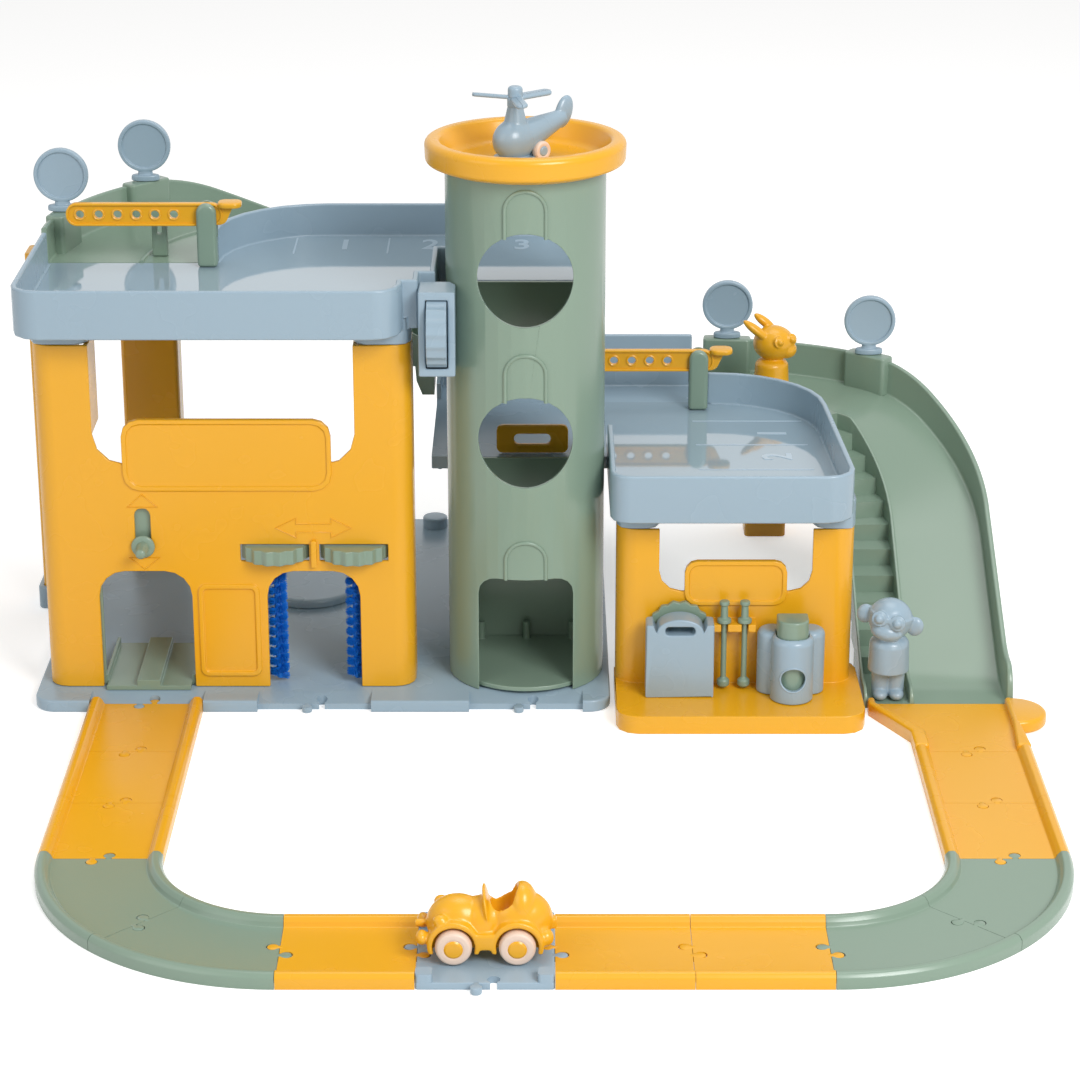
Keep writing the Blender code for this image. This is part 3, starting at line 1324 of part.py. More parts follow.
def make_legs(name, turn, heading, low, foot, top):
    """Two legs with an arched brace between them."""
    places = leg_places(turn, heading)
    tops = []
    for (x, y), _ in places:
        angle = math.degrees(math.atan2(y - turn[1], x - turn[0])) - heading
        distance = LANE_STRAIGHT + LANE_RADIUS * math.radians(angle % 360) - 24 * MM
        tops.append(lane_height(distance, foot, top) - LANE_THICK - GAP)
    (first, first_size), (second, second_size) = places
    leg = outline_solid(name, [centred_rectangle(first, first_size, 2 * MM, 1)], low, tops[0])
    other = outline_solid(name + "_second", [centred_rectangle(second, second_size, 2 * MM, 1)], low, tops[1])
    brace_top = min(tops) - 6 * MM
    across = math.atan2(second[1] - first[1], second[0] - first[0])
    length = math.hypot(second[0] - first[0], second[1] - first[1])
    thickness = 14 * MM
    drop = 26 * MM
    outline = [(0.0, brace_top), (0.0, brace_top - drop)]
    outline += arc((length / 2, brace_top - drop), length / 2 - 6 * MM, 180, 0, 8)
    outline += [(length, brace_top - drop), (length, brace_top)]
    depth = brace_top - drop
    limited = [(along, min(height, depth + (drop - thickness))) for along, height in outline[2:-2]]
    brace_line = outline[:2] + limited + outline[-2:]
    brace = outline_solid(name + "_brace", [brace_line], -6 * MM, 6 * MM, "XZ")
    brace.data.transform(Matrix.Rotation(across, 4, "Z"))
    brace.data.transform(Matrix.Translation((first[0], first[1], 0.0)))
    join(leg, other, brace)
    paint(leg, MATERIALS["yellow"])


def make_sign(name, turn, heading, angle, top):
    """Blank round sign on an oval foot, facing the front."""
    reach = LANE_RADIUS + LANE_HALF - SIGN_BLOCK[1] / 2 + 2 * MM
    x, y = turn_point(turn, heading, reach, angle)
    low = top + SIGN_BLOCK[2] + GAP
    foot_x, foot_y, foot_z = SIGN_FOOT
    centre_z = low + foot_z + SIGN_NECK + SIGN_RADIUS - 3 * MM
    half = SIGN_THICK / 2
    disc = rod(name, SIGN_RADIUS, y - half, y + half, (x, centre_z), "Y", segments=18)
    face = rod(
        name + "_face", SIGN_RADIUS - SIGN_RIM, y - half - 1 * MM, y - half + 1 * MM, (x, centre_z), "Y", segments=18
    )
    cut(disc, face)
    neck = box(name + "_neck", (x - 6 * MM, x + 6 * MM), (y - 2 * MM, y + 2 * MM), (low + 1 * MM, centre_z - 14 * MM))
    foot = rod(name + "_foot", 1.0, low, low + foot_z, segments=14)
    foot.data.transform(Matrix.Diagonal((foot_x, foot_y, 1.0, 1.0)))
    foot.data.transform(Matrix.Translation((x, y, 0.0)))
    join(disc, neck, foot)
    paint(disc, MATERIALS["blue"])


def make_boom(level, place, floor):
    """Slotted post with a boom that swings up about a pin along Y."""
    x, y = place
    low = floor + GAP
    half = POST_WIDTH / 2
    post_line = arch(x, POST_WIDTH, low, low + POST_HEIGHT, half - 0.2 * MM)
    post = outline_solid(f"boom_post_{level}", [post_line], y - POST_DEPTH / 2, y + POST_DEPTH / 2, "XZ")
    slot = box(
        f"post_slot_{level}",
        (x - half - 1 * MM, x + half + 1 * MM),
        (y - POST_SLOT / 2, y + POST_SLOT / 2),
        (low + BOOM_PIVOT - BOOM_HEIGHT, low + POST_HEIGHT + 1 * MM),
    )
    pivot = (x, low + BOOM_PIVOT)
    pin_half = POST_DEPTH / 2 - 1.5 * MM
    bore = rod(f"post_bore_{level}", BOOM_PIN + GAP, y - pin_half - GAP, y + pin_half + GAP, pivot, "Y", segments=10)
    cut(post, slot, bore)
    paint(post, MATERIALS["green"])

    bar = rounded_rectangle(
        (x - BOOM_REACH, x + BOOM_TAIL * 0.45),
        (pivot[1] - BOOM_HEIGHT / 2, pivot[1] + BOOM_HEIGHT / 2),
        BOOM_HEIGHT / 2 - 0.5 * MM,
    )
    half_thick = BOOM_THICK / 2
    boom = outline_solid(f"boom_{level}", [bar], y - half_thick, y + half_thick, "XZ")
    spacing = (BOOM_REACH - 18 * MM) / BOOM_HOLES
    for index in range(BOOM_HOLES):
        centre = (x - BOOM_REACH + 9 * MM + spacing * index, pivot[1])
        hole_y = (y - BOOM_THICK, y + BOOM_THICK)
        cut(boom, rod(f"boom_hole_{level}_{index}", BOOM_HOLE_RADIUS, *hole_y, centre, "Y", segments=8))
    join(boom, rod(f"boom_pin_{level}", BOOM_PIN, y - pin_half, y + pin_half, pivot, "Y", segments=8))
    paddle = rounded_rectangle((x + half + 1 * MM, x + BOOM_TAIL), (y - 7 * MM, y + 7 * MM), 5 * MM, 2)
    paddle_z = (pivot[1] + BOOM_HEIGHT / 2 - 4 * MM, pivot[1] + BOOM_HEIGHT / 2 + 1 * MM)
    join(boom, outline_solid(f"boom_paddle_{level}", [paddle], *paddle_z))
    set_origin(boom, (x, y, pivot[1]))
    paint(boom, MATERIALS["yellow"])


def make_guard():
    """Low guard at the tower's middle exit."""
    x = (-19.5 * MM, 27.5 * MM)
    z = (MIDDLE_FLOOR + GAP, MIDDLE_FLOOR + 19.5 * MM)
    y = (TOWER_BACK + 6 * MM, TOWER_BACK + 10 * MM)
    slot = centred_rectangle(((x[0] + x[1]) / 2, (z[0] + z[1]) / 2), (24 * MM, 7 * MM), 3 * MM)
    guard = outline_solid("deck_guard", [rounded_rectangle(x, z, 4 * MM), slot], *y, "XZ")
    paint(guard, MATERIALS["yellow"])


def make_station():
    """Fuel station front: base, wall with columns, blank board and the nozzles' clip bar."""
    x = (STATION_LEFT, STATION_RIGHT)
    y = (STATION_FRONT, STATION_BACK)
    left, right = STATION_WALL
    base = outline_solid("station_front", [rounded_rectangle(x, y, 14 * MM)], 0.0, STATION_BASE)
    plan = channel_outline(left, right, STATION_WALL_FRONT, STATION_DEPTH, WALL_THICK, COLUMN_CORNER)
    wall = outline_solid("station_wall", [plan], STATION_BASE - 1 * MM, STATION_TOP)
    opening = rounded_rectangle(
        (left + STATION_COLUMN, right - STATION_COLUMN), (STATION_SILL, STATION_TOP + 30 * MM), 14 * MM
    )
    opening_y = (STATION_WALL_FRONT - 3 * MM, STATION_WALL_FRONT + WALL_THICK + 2 * MM)
    cutter = outline_solid("station_opening", [opening], *opening_y, "XZ")
    cut(wall, cutter)
    join(base, wall)
    back = STATION_WALL_FRONT + WALL_THICK
    add_board(base, "station_board", STATION_BOARD_CENTRE, STATION_BOARD, 8 * MM, STATION_WALL_FRONT, back)
    clip_x = (NOZZLES_X[0] - 7 * MM, NOZZLES_X[1] + 7 * MM)
    clip_y = (NOZZLE_Y - 4 * MM, STATION_WALL_FRONT + 1 * MM)
    join(base, box("nozzle_clip", clip_x, clip_y, (CLIP_LOW, CLIP_HIGH)))
    for index, nozzle_x in enumerate(NOZZLES_X):
        slot_x = (nozzle_x - NOZZLE_STICK - GAP, nozzle_x + NOZZLE_STICK + GAP)
        slot_y = (NOZZLE_Y - 6 * MM, NOZZLE_Y + NOZZLE_STICK + GAP)
        cut(base, box(f"nozzle_slot_{index}", slot_x, slot_y, (CLIP_LOW - 1 * MM, CLIP_HIGH + 1 * MM)))
    bore_y = (STATION_WALL_FRONT - 1 * MM, back + 1 * MM)
    cut(base, rod("counter_bore", COUNTER_PIN + GAP, *bore_y, (CAN_X, COUNTER_Z), "Y", segments=10))
    paint(base, MATERIALS["yellow"])


def make_can():
    """Fuel can with a handle slot, and the toothed counter wheel behind it."""
    low = STATION_BASE + GAP
    half = CAN_WIDTH / 2
    body = [(CAN_X - half, low), (CAN_X + half, low)]
    body += arc((CAN_X + half - 6 * MM, CAN_SHOULDER - 6 * MM), 6 * MM, 0, 60, 3)
    body += arc((CAN_X + 7 * MM, CAN_TOP - 6 * MM), 6 * MM, 60, 90, 2)
    body += arc((CAN_X - 7 * MM, CAN_TOP - 6 * MM), 6 * MM, 90, 120, 2)
    body += arc((CAN_X - half + 6 * MM, CAN_SHOULDER - 6 * MM), 6 * MM, 120, 180, 3)
    handle = centred_rectangle((CAN_X, CAN_TOP - 8 * MM), (20 * MM, 5.4 * MM), 2.5 * MM)
    can = outline_solid("fuel_can", [body, handle], CAN_FRONT, CAN_BACK, "XZ")
    paint(can, MATERIALS["blue"])
    wheel_back = STATION_WALL_FRONT - BEAD_HEIGHT - GAP
    wheel_front = wheel_back - COUNTER_THICK
    outline = toothed((CAN_X, COUNTER_Z), COUNTER_RADIUS, COUNTER_TOOTH, COUNTER_TEETH)
    wheel = outline_solid("counter_wheel", [outline], wheel_front, wheel_back, "XZ")
    pin_y = (wheel_back - 1 * MM, STATION_WALL_FRONT + WALL_THICK)
    join(wheel, rod("counter_pin", COUNTER_PIN, *pin_y, (CAN_X, COUNTER_Z), "Y", segments=10))
    set_origin(wheel, (CAN_X, wheel_back, COUNTER_Z))
    paint(wheel, MATERIALS["green"])


def make_nozzles():
    """Fuel nozzles that hang by their collars in the clip bar."""
    for side, x in zip(("left", "right"), NOZZLES_X):
        collar = CLIP_HIGH + GAP
        profile = [
            (0.0, NOZZLE_TOP),
            (3.2 * MM, NOZZLE_TOP - 1 * MM),
            (3.2 * MM, NOZZLE_TOP - 4 * MM),
            (2.4 * MM, NOZZLE_TOP - 5 * MM),
            (2.4 * MM, collar + 4 * MM),
            (NOZZLE_COLLAR, collar + 3 * MM),
            (NOZZLE_COLLAR, collar),
            (NOZZLE_STICK, collar),
            (NOZZLE_STICK, NOZZLE_LOW + 7 * MM),
            (4.0 * MM, NOZZLE_LOW + 5 * MM),
            (4.0 * MM, NOZZLE_LOW + 2 * MM),
            (2.0 * MM, NOZZLE_LOW),
            (0.0, NOZZLE_LOW),
        ]
        paint(turned(f"nozzle_{side}", profile, (x, NOZZLE_Y), 10), MATERIALS["green"])


def make_pump():
    """Three-lobed pump with a sprung button whose body shows in a round window."""
    low = STATION_BASE + GAP
    lobe_y = PUMP_FRONT + PUMP_LOBE
    side_y = PUMP_BACK - PUMP_SIDE_LOBE
    body = rod("pump_body", PUMP_LOBE, low, PUMP_TOP, (PUMP_X, lobe_y), segments=24)
    for index, side in enumerate((-1, 1)):
        x = PUMP_X + side * (PUMP_HALF - PUMP_SIDE_LOBE)
        join(body, rod(f"pump_lobe_{index}", PUMP_SIDE_LOBE, low, PUMP_TOP - 2 * MM, (x, side_y), segments=20))
    inner = PUMP_HALF - PUMP_SIDE_LOBE
    core = box("pump_core", (PUMP_X - inner, PUMP_X + inner), (lobe_y, PUMP_BACK), (low, PUMP_TOP - 1 * MM))
    join(body, core)
    pocket_low = low + 2 * MM
    pocket_y = (lobe_y - 8 * MM, lobe_y + 12 * MM)
    half = BUTTON_HALF + GAP
    cut(body, box("pump_pocket", (PUMP_X - half, PUMP_X + half), pocket_y, (pocket_low, PUMP_TOP + 1 * MM)))
    window_y = (PUMP_FRONT - 1 * MM, lobe_y)
    cut(body, rod("pump_window", PUMP_WINDOW_RADIUS, *window_y, (PUMP_X, PUMP_WINDOW_Z), "Y", segments=24))
    paint(body, MATERIALS["blue"])

    bottom = pocket_low + BUTTON_TRAVEL + GAP
    corner = BUTTON_HALF - 1.5 * MM
    line = arch(PUMP_X, BUTTON_HALF * 2, bottom, BUTTON_TOP, corner)
    button = outline_solid("pump_button", [line], pocket_y[0] + GAP, pocket_y[1] - GAP, "XZ")
    set_origin(button, (PUMP_X, lobe_y, bottom))
    paint(button, MATERIALS["green"])


def make_car(row_y):
    """Open toy car and its two wheel sets on the crossing tile."""
    axle_z = TILE_FLOOR + CAR_WHEEL + 0.2 * MM
    front_x = CAR_X - CAR_WHEELBASE / 2
    rear_x = CAR_X + CAR_WHEELBASE / 2
    left = CAR_X - CAR_LENGTH / 2
    right = CAR_X + CAR_LENGTH / 2
    half = CAR_WIDTH / 2
    low = axle_z - 2 * MM
    clear = CAR_WHEEL + 1.2 * MM
    below = math.degrees(math.asin((axle_z - low) / clear))
    side = [(left + 2 * MM, low)]
    side += arc((front_x, axle_z), clear, 180 + below, -below, 6)
    side += arc((rear_x, axle_z), clear, 180 + below, -below, 6)
    side += [(right - 2 * MM, low), (right, low + 4 * MM), (right - 2 * MM, low + 16 * MM)]
    side += [(rear_x + 4 * MM, low + 22 * MM), (rear_x - 8 * MM, low + 20 * MM)]
    side += [(front_x + 12 * MM, low + 19 * MM), (front_x, low + 20 * MM), (left + 5 * MM, low + 13 * MM)]
    side += [(left, low + 5 * MM)]
    side.reverse()
    y = (row_y - half, row_y + half)
    body = outline_solid("car_body", [side], *y, "XZ")
    spine = (row_y - half + CAR_WHEEL_WIDTH + 1 * MM, row_y + half - CAR_WHEEL_WIDTH - 1 * MM)
    join(body, box("car_spine", (left + 4 * MM, right - 4 * MM), spine, (axle_z - 5 * MM, axle_z + 10 * MM)))
    seat_x = (CAR_X - 6 * MM, CAR_X + 11 * MM)
    cut(body, box("car_seat", seat_x, (row_y - 9 * MM, row_y + 9 * MM), (axle_z + 6 * MM, axle_z + 40 * MM)))
    cowl = outline_solid(
        "car_cowl",
        [arch(row_y, 24 * MM, low + 14 * MM, low + 33 * MM, 10 * MM)],
        rear_x - 6 * MM,
        rear_x - 1 * MM,
        "YZ",
    )
    screen = outline_solid(
        "car_screen",
        [arch(row_y, 26 * MM, low + 14 * MM, low + 31 * MM, 8 * MM)],
        CAR_X - 9 * MM,
        CAR_X - 7 * MM,
        "YZ",
    )
    hitch_z = (low + 8 * MM, low + 11 * MM)
    front_hitch = box("front_hitch", (left - 6 * MM, left + 6 * MM), (row_y - 3 * MM, row_y + 3 * MM), hitch_z)
    rear_hitch = box("rear_hitch", (right - 6 * MM, right + 5 * MM), (row_y - 3 * MM, row_y + 3 * MM), hitch_z)
    join(body, cowl, screen, front_hitch, rear_hitch)
    for index, x in enumerate((front_x, rear_x)):
        bore = rod(f"axle_bore_{index}", CAR_AXLE + GAP, y[0] - 1 * MM, y[1] + 1 * MM, (x, axle_z), "Y", segments=12)
        cut(body, bore)
    set_origin(body, (CAR_X, row_y, axle_z))
    paint(body, MATERIALS["yellow"])
    for name, x in (("car_front_wheels", front_x), ("car_rear_wheels", rear_x)):
        wheels = rod(name, CAR_AXLE, y[0] + 1 * MM, y[1] - 1 * MM, (x, axle_z), "Y", segments=12)
        for index, wheel_y in enumerate(((y[0] - 1 * MM, spine[0] - 0.6 * MM), (spine[1] + 0.6 * MM, y[1] + 1 * MM))):
            join(wheels, rod(f"{name}_{index}", CAR_WHEEL, *wheel_y, (x, axle_z), "Y", segments=20))
        set_origin(wheels, (x, row_y, axle_z))
        paint(wheels, MATERIALS["beige"])


def make_helicopter():
    """Small helicopter on the dish: body, rotor and wheel set, nose to the front left."""
    floor = TOWER_TOP + GAP + DISH_WALL + GAP
    axle_z = floor + HELICOPTER_WHEEL
    body_z = floor + 18 * MM
    mast_top = floor + HELICOPTER_MAST
    body = ball("helicopter_body", 12 * MM, (-8 * MM, 0.0, body_z), (1.5, 1.0, 1.0), 12, 8)
    tail = rod("tail_boom", 6 * MM, 2 * MM, 36 * MM, (0.0, body_z + 3 * MM), "X", 12, far_radius=2.5 * MM)
    fin_line = [
        (27 * MM, body_z + 2.4 * MM),
        (35 * MM, body_z + 1.6 * MM),
        (38 * MM, body_z + 12 * MM),
        (33 * MM, body_z + 12 * MM),
    ]
    fin = outline_solid("tail_fin", [fin_line], -1.5 * MM, 1.5 * MM, "XZ")
    mast = rod("mast", 3 * MM, body_z + 4 * MM, mast_top - 10 * MM, (-8 * MM, 0.0), segments=9)
    pin_z = (mast_top - 19 * MM, mast_top - 1 * MM)
    pin = rod("mast_pin", 1.5 * MM, *pin_z, (-8 * MM, 0.0), segments=8)
    strut = box("axle_block", (2 * MM, 8 * MM), (-6 * MM, 6 * MM), (axle_z - 3 * MM, body_z))
    skid = box("nose_skid", (-20 * MM, -12 * MM), (-3 * MM, 3 * MM), (floor, body_z - 4 * MM))
    join(body, tail, fin, mast, pin, strut, skid)
    axle_bore = rod("helicopter_axle_bore", 1.5 * MM + GAP, -8 * MM, 8 * MM, (5 * MM, axle_z), "Y", segments=12)
    cut(body, axle_bore)
    wheels = rod("helicopter_wheels", 1.5 * MM, -8 * MM, 8 * MM, (5 * MM, axle_z), "Y", segments=12)
    for index, y in enumerate(((-12 * MM, -6.6 * MM), (6.6 * MM, 12 * MM))):
        join(wheels, rod(f"helicopter_wheel_{index}", HELICOPTER_WHEEL, *y, (5 * MM, axle_z), "Y", segments=16))
    hub_low = mast_top - 10 * MM + GAP
    rotor = rod("helicopter_rotor", 4 * MM, hub_low, mast_top + 3 * MM, (-8 * MM, 0.0), segments=12)
    for index in range(ROTOR_BLADES):
        angle = math.tau * index / ROTOR_BLADES
        blade_line = rounded_rectangle((0.0, ROTOR_RADIUS), (-3.5 * MM, 3.5 * MM), 3 * MM, 2)
        blade = outline_solid(f"rotor_blade_{index}", [blade_line], hub_low + 4 * MM, hub_low + 6.5 * MM)
        blade.data.transform(Matrix.Rotation(angle, 4, "Z"))
        blade.data.transform(Matrix.Translation((-8 * MM, 0.0, 0.0)))
        join(rotor, blade)
    bore = rod("rotor_bore", 1.5 * MM + GAP, hub_low - 1 * MM, mast_top, (-8 * MM, 0.0), segments=8)
    cut(rotor, bore)
    yaw = Matrix.Rotation(math.radians(HELICOPTER_YAW), 4, "Z")
    for item in (body, wheels, rotor):
        item.data.transform(yaw)
        for modifier in item.modifiers:
            modifier.object.data.transform(yaw)
    set_origin(wheels, yaw @ Vector((5 * MM, 0.0, axle_z)))
    set_origin(rotor, yaw @ Vector((-8 * MM, 0.0, mast_top)))
    paint(body, MATERIALS["blue"])
    paint(wheels, MATERIALS["beige"])
    paint(rotor, MATERIALS["blue"])


def make_figures():
    """A monkey at the foot of the stairs and a rabbit at the head of the lane."""
    x, y = MONKEY_PLACE
    low = TILE_FLOOR + GAP
    monkey = turned("monkey_figure", figure_profile(low, 22 * MM, 43 * MM, 12 * MM), (x, y), 12)
    head_z = low + 55 * MM
    head = ball("monkey_head", 14.5 * MM, (x, y, head_z), (1.05, 0.95, 0.92))
    join(monkey, head)
    for index, side in enumerate((-1, 1)):
        ear = ball(f"monkey_ear_{index}", 6 * MM, (x + side * 16 * MM, y + 2 * MM, head_z), (1.0, 0.5, 1.0), 8, 6)
        join(monkey, ear)
    paint(monkey, MATERIALS["blue"])

    x, y = RABBIT_PLACE
    low = LOWER_RAMP_TOP + GAP
    rabbit = turned("rabbit_figure", figure_profile(low, 12 * MM, 30 * MM, 12.5 * MM), (x, y), 12)
    head_z = low + 41 * MM
    join(rabbit, ball("rabbit_head", 14 * MM, (x + 1 * MM, y, head_z), (1.08, 0.95, 0.9)))
    for index, side in enumerate((-1, 1)):
        ear = ball(f"rabbit_ear_{index}", 9 * MM, (0.0, 0.0, 8 * MM), (0.45, 0.3, 1.25), 8, 6)
        ear.data.transform(Matrix.Rotation(math.radians(-38), 4, "Y"))
        ear.data.transform(Matrix.Translation((x - 9 * MM, y + side * 6 * MM, head_z + 5 * MM)))
        join(rabbit, ear)
    paint(rabbit, MATERIALS["yellow"])


def figure_profile(low, waist, shoulder, radius):
    """Turned outline of a figure's legs and body."""
    return [
        (0.0, low + shoulder),
        (radius * 0.7, low + shoulder),
        (radius * 0.97, low + shoulder - 4 * MM),
        (radius, low + waist + 3 * MM),
        (radius * 0.92, low + waist),
        (radius * 0.8, low + waist - 1 * MM),
        (radius * 0.75, low + 2 * MM),
        (radius * 0.7, low),
        (0.0, low),
    ]


remove_old_objects()
PIECES = new_collection("Toy garage")
CUTTERS = new_collection("Cutters")
MATERIALS = {
    "yellow": new_material("Yellow plastic", YELLOW, 0.3),
    "green": new_material("Green plastic", GREEN, 0.32),
    "blue": new_material("Blue-grey plastic", BLUE, 0.28),
    "beige": new_material("Beige plastic", BEIGE, 0.5),
    "bristle": new_material("Blue bristles", BRISTLE_BLUE, 0.45),
}

make_base()
make_turntable()
make_front_wall()
make_wash()
make_hoist()
make_tower()
make_crank()
make_upper_deck()
make_middle_deck()
UPPER_FOOT = MIDDLE_FLOOR + GAP + LANE_THICK
make_ramp("upper_ramp", UPPER_FOOT, UPPER_FLOOR, UPPER_TURN, 90, UPPER_STAIR_START, UPPER_SIGN_ANGLES)
make_ramp("lower_ramp", TILE_FLOOR, LOWER_RAMP_TOP, MIDDLE_TURN, 0, 0.0, LOWER_SIGN_ANGLES)
make_legs("upper_ramp_legs", UPPER_TURN, 90, BASE_THICK + GAP, UPPER_FOOT, UPPER_FLOOR)
make_legs("lower_ramp_legs", MIDDLE_TURN, 0, 0.0, TILE_FLOOR, LOWER_RAMP_TOP)
for deck_name, deck_turn, deck_heading, deck_top, sign_angles in (
    ("upper", UPPER_TURN, 90, UPPER_FLOOR, UPPER_SIGN_ANGLES),
    ("lower", MIDDLE_TURN, 0, LOWER_RAMP_TOP, LOWER_SIGN_ANGLES),
):
    for sign_name, sign_angle in zip(("start", "turn"), sign_angles):
        make_sign(f"sign_{deck_name}_{sign_name}", deck_turn, deck_heading, sign_angle, deck_top)
make_boom("upper", UPPER_POST, UPPER_FLOOR)
make_boom("middle", MIDDLE_POST, MIDDLE_FLOOR)
make_guard()
make_station()
make_can()
make_nozzles()
make_pump()
make_car(make_track())
make_helicopter()
make_figures()
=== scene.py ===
"""Looks of a toy garage in moulded plastic: its studio, its finishes and its finely shaped pieces.

Metres, +Z up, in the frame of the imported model. -Y is the front, with the arches and the fuel station.
"""

import json
import logging
import math
from collections.abc import Iterable, Sequence
from dataclasses import dataclass, field
from enum import Enum

import bmesh
import bpy
from mathutils import Matrix, Vector
from mathutils.bvhtree import BVHTree
from mathutils.kdtree import KDTree

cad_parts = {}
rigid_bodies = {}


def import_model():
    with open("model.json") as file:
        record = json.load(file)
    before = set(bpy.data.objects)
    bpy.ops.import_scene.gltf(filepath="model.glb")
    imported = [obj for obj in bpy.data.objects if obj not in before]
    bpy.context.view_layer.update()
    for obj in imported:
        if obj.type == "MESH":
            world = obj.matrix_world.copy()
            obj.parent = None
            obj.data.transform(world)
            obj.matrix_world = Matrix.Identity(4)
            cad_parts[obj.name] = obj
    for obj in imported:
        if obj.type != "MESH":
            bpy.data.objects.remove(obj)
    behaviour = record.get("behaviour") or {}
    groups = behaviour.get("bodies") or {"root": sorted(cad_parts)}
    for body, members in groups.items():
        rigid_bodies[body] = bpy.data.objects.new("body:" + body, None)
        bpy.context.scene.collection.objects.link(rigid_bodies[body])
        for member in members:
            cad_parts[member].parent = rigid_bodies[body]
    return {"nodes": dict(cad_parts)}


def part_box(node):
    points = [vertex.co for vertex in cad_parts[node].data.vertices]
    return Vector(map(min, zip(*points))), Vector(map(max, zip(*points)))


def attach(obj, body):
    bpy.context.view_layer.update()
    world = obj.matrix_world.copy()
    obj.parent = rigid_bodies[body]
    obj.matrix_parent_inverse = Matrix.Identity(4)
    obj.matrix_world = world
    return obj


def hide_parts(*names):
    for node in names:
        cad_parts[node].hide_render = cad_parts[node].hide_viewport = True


for leftover in list(bpy.data.objects):
    bpy.data.objects.remove(leftover)
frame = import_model()

LOG = logging.getLogger("toy_garage")
MM = 0.001

# Distance below which two points are the same, and angles from which an edge is drawn sharp.
NEAR = 0.001 * MM
MELTED_SHARP = 70.0
TILE_SHARP = 38.0
WHITE = (1.0, 1.0, 1.0, 1.0)
UNTURNED = Matrix.Identity(4)

Pair = tuple[float, float]
Triple = tuple[float, float, float]
Outline = list[Pair]
Shape = bmesh.types.BMesh


class Tone(Enum):
    """Colours that the set is moulded in, each with its material slot."""

    YELLOW = "yellow"
    GREEN = "green"
    BLUE = "blue"
    POLISHED = "polished blue"
    PALE = "pale blue"
    BEIGE = "beige"
    BRISTLE = "bristle"

    @property
    def slot(self) -> str:
        """Name of the material slot that the colour belongs to."""
        return "blue" if self in (Tone.POLISHED, Tone.PALE) else self.value


class Plane(Enum):
    """Plane that a flat outline is drawn in before it gets its thickness."""

    XY = Matrix(((1, 0, 0, 0), (0, 1, 0, 0), (0, 0, 1, 0), (0, 0, 0, 1)))
    XZ = Matrix(((1, 0, 0, 0), (0, 0, 1, 0), (0, 1, 0, 0), (0, 0, 0, 1)))
    YZ = Matrix(((0, 0, 1, 0), (1, 0, 0, 0), (0, 1, 0, 0), (0, 0, 0, 1)))


class Axis(Enum):
    """Axis that a turned shape is spun about."""

    Z = Matrix.Identity(4)
    Y = Matrix.Rotation(math.radians(-90), 4, "X")


def linear(channel: int) -> float:
    """Turn one 8-bit display value into a linear one."""
    value = channel / 255
    return value / 12.92 if value <= 0.04045 else ((value + 0.055) / 1.055) ** 2.4


def fed(node: bpy.types.Node, inputs: dict[str | int, object]) -> bpy.types.Node:
    """Link or set the inputs of a shader node.

    Args:
        node: Node in its tree.
        inputs: Sockets to link and values to set, by the input's name or number.

    Returns:
        The same node.
    """
    for key, value in inputs.items():
        if isinstance(value, bpy.types.NodeSocket):
            node.id_data.links.new(value, node.inputs[key])
        else:
            node.inputs[key].default_value = value
    return node


@dataclass(frozen=True)
class Plastic:
    """Moulded plastic with faint flow marks, an uneven gloss and a fine skin.

    Args:
        name: Name of the material.
        colour: Display colour, 0 to 255.
        roughness: Middle of its roughness.
        spread: How far the roughness wanders from its middle.
        mottle: How far the colour wanders from its middle.
        skin: Strength of the fine bump.
        coat: Weight of a clear gloss over the colour.
    """

    name: str
    colour: tuple[int, int, int]
    roughness: float
    spread: float = 0.015
    mottle: float = 0.007
    skin: float = 0.02
    coat: float = 0.0

    def shade(self, factor: float) -> tuple[float, float, float, float]:
        """Colour brightened or darkened by a factor."""
        red, green, blue = (min(1.0, linear(channel) * factor) for channel in self.colour)
        return (red, green, blue, 1.0)

    def material(self) -> bpy.types.Material:
        """Build the node material.

        Returns:
            A material that reads Object coordinates.
        """
        material = bpy.data.materials.new(self.name)
        material.use_nodes = True
        tree = material.node_tree
        new = tree.nodes.new
        place = new("ShaderNodeTexCoord").outputs["Object"]
        stretch = fed(new("ShaderNodeMapping"), {"Vector": place, "Scale": (1.0, 1.0, 0.35)})
        along = stretch.outputs["Vector"]
        flow = fed(new("ShaderNodeTexNoise"), {"Vector": along, "Scale": 12.0, "Detail": 3.0})
        ramp = fed(new("ShaderNodeValToRGB"), {"Fac": flow.outputs["Fac"]})
        changes = (-self.mottle, self.mottle)
        for element, position, change in zip(ramp.color_ramp.elements, (0.2, 0.8), changes):
            element.position = position
            element.color = self.shade(1.0 + change)

        gloss = fed(new("ShaderNodeTexNoise"), {"Vector": place, "Scale": 30.0, "Detail": 2.0})
        spread = fed(
            new("ShaderNodeMapRange"),
            {
                "Value": gloss.outputs["Fac"],
                "From Min": 0.2,
                "From Max": 0.8,
                "To Min": self.roughness - self.spread,
                "To Max": self.roughness + self.spread,
            },
        )
        skin = fed(new("ShaderNodeTexNoise"), {"Vector": place, "Scale": 1300.0, "Detail": 2.0})
        bump = fed(
            new("ShaderNodeBump"),
            {"Height": skin.outputs["Fac"], "Strength": self.skin, "Distance": 0.1 * MM},
        )
        fed(
            tree.nodes["Principled BSDF"],
            {
                "Base Color": ramp.outputs["Color"],
                "Roughness": spread.outputs["Result"],
                "Normal": bump.outputs["Normal"],
                "IOR": 1.5,
                "Coat Weight": self.coat,
                "Coat Roughness": 0.05,
            },
        )
        return material


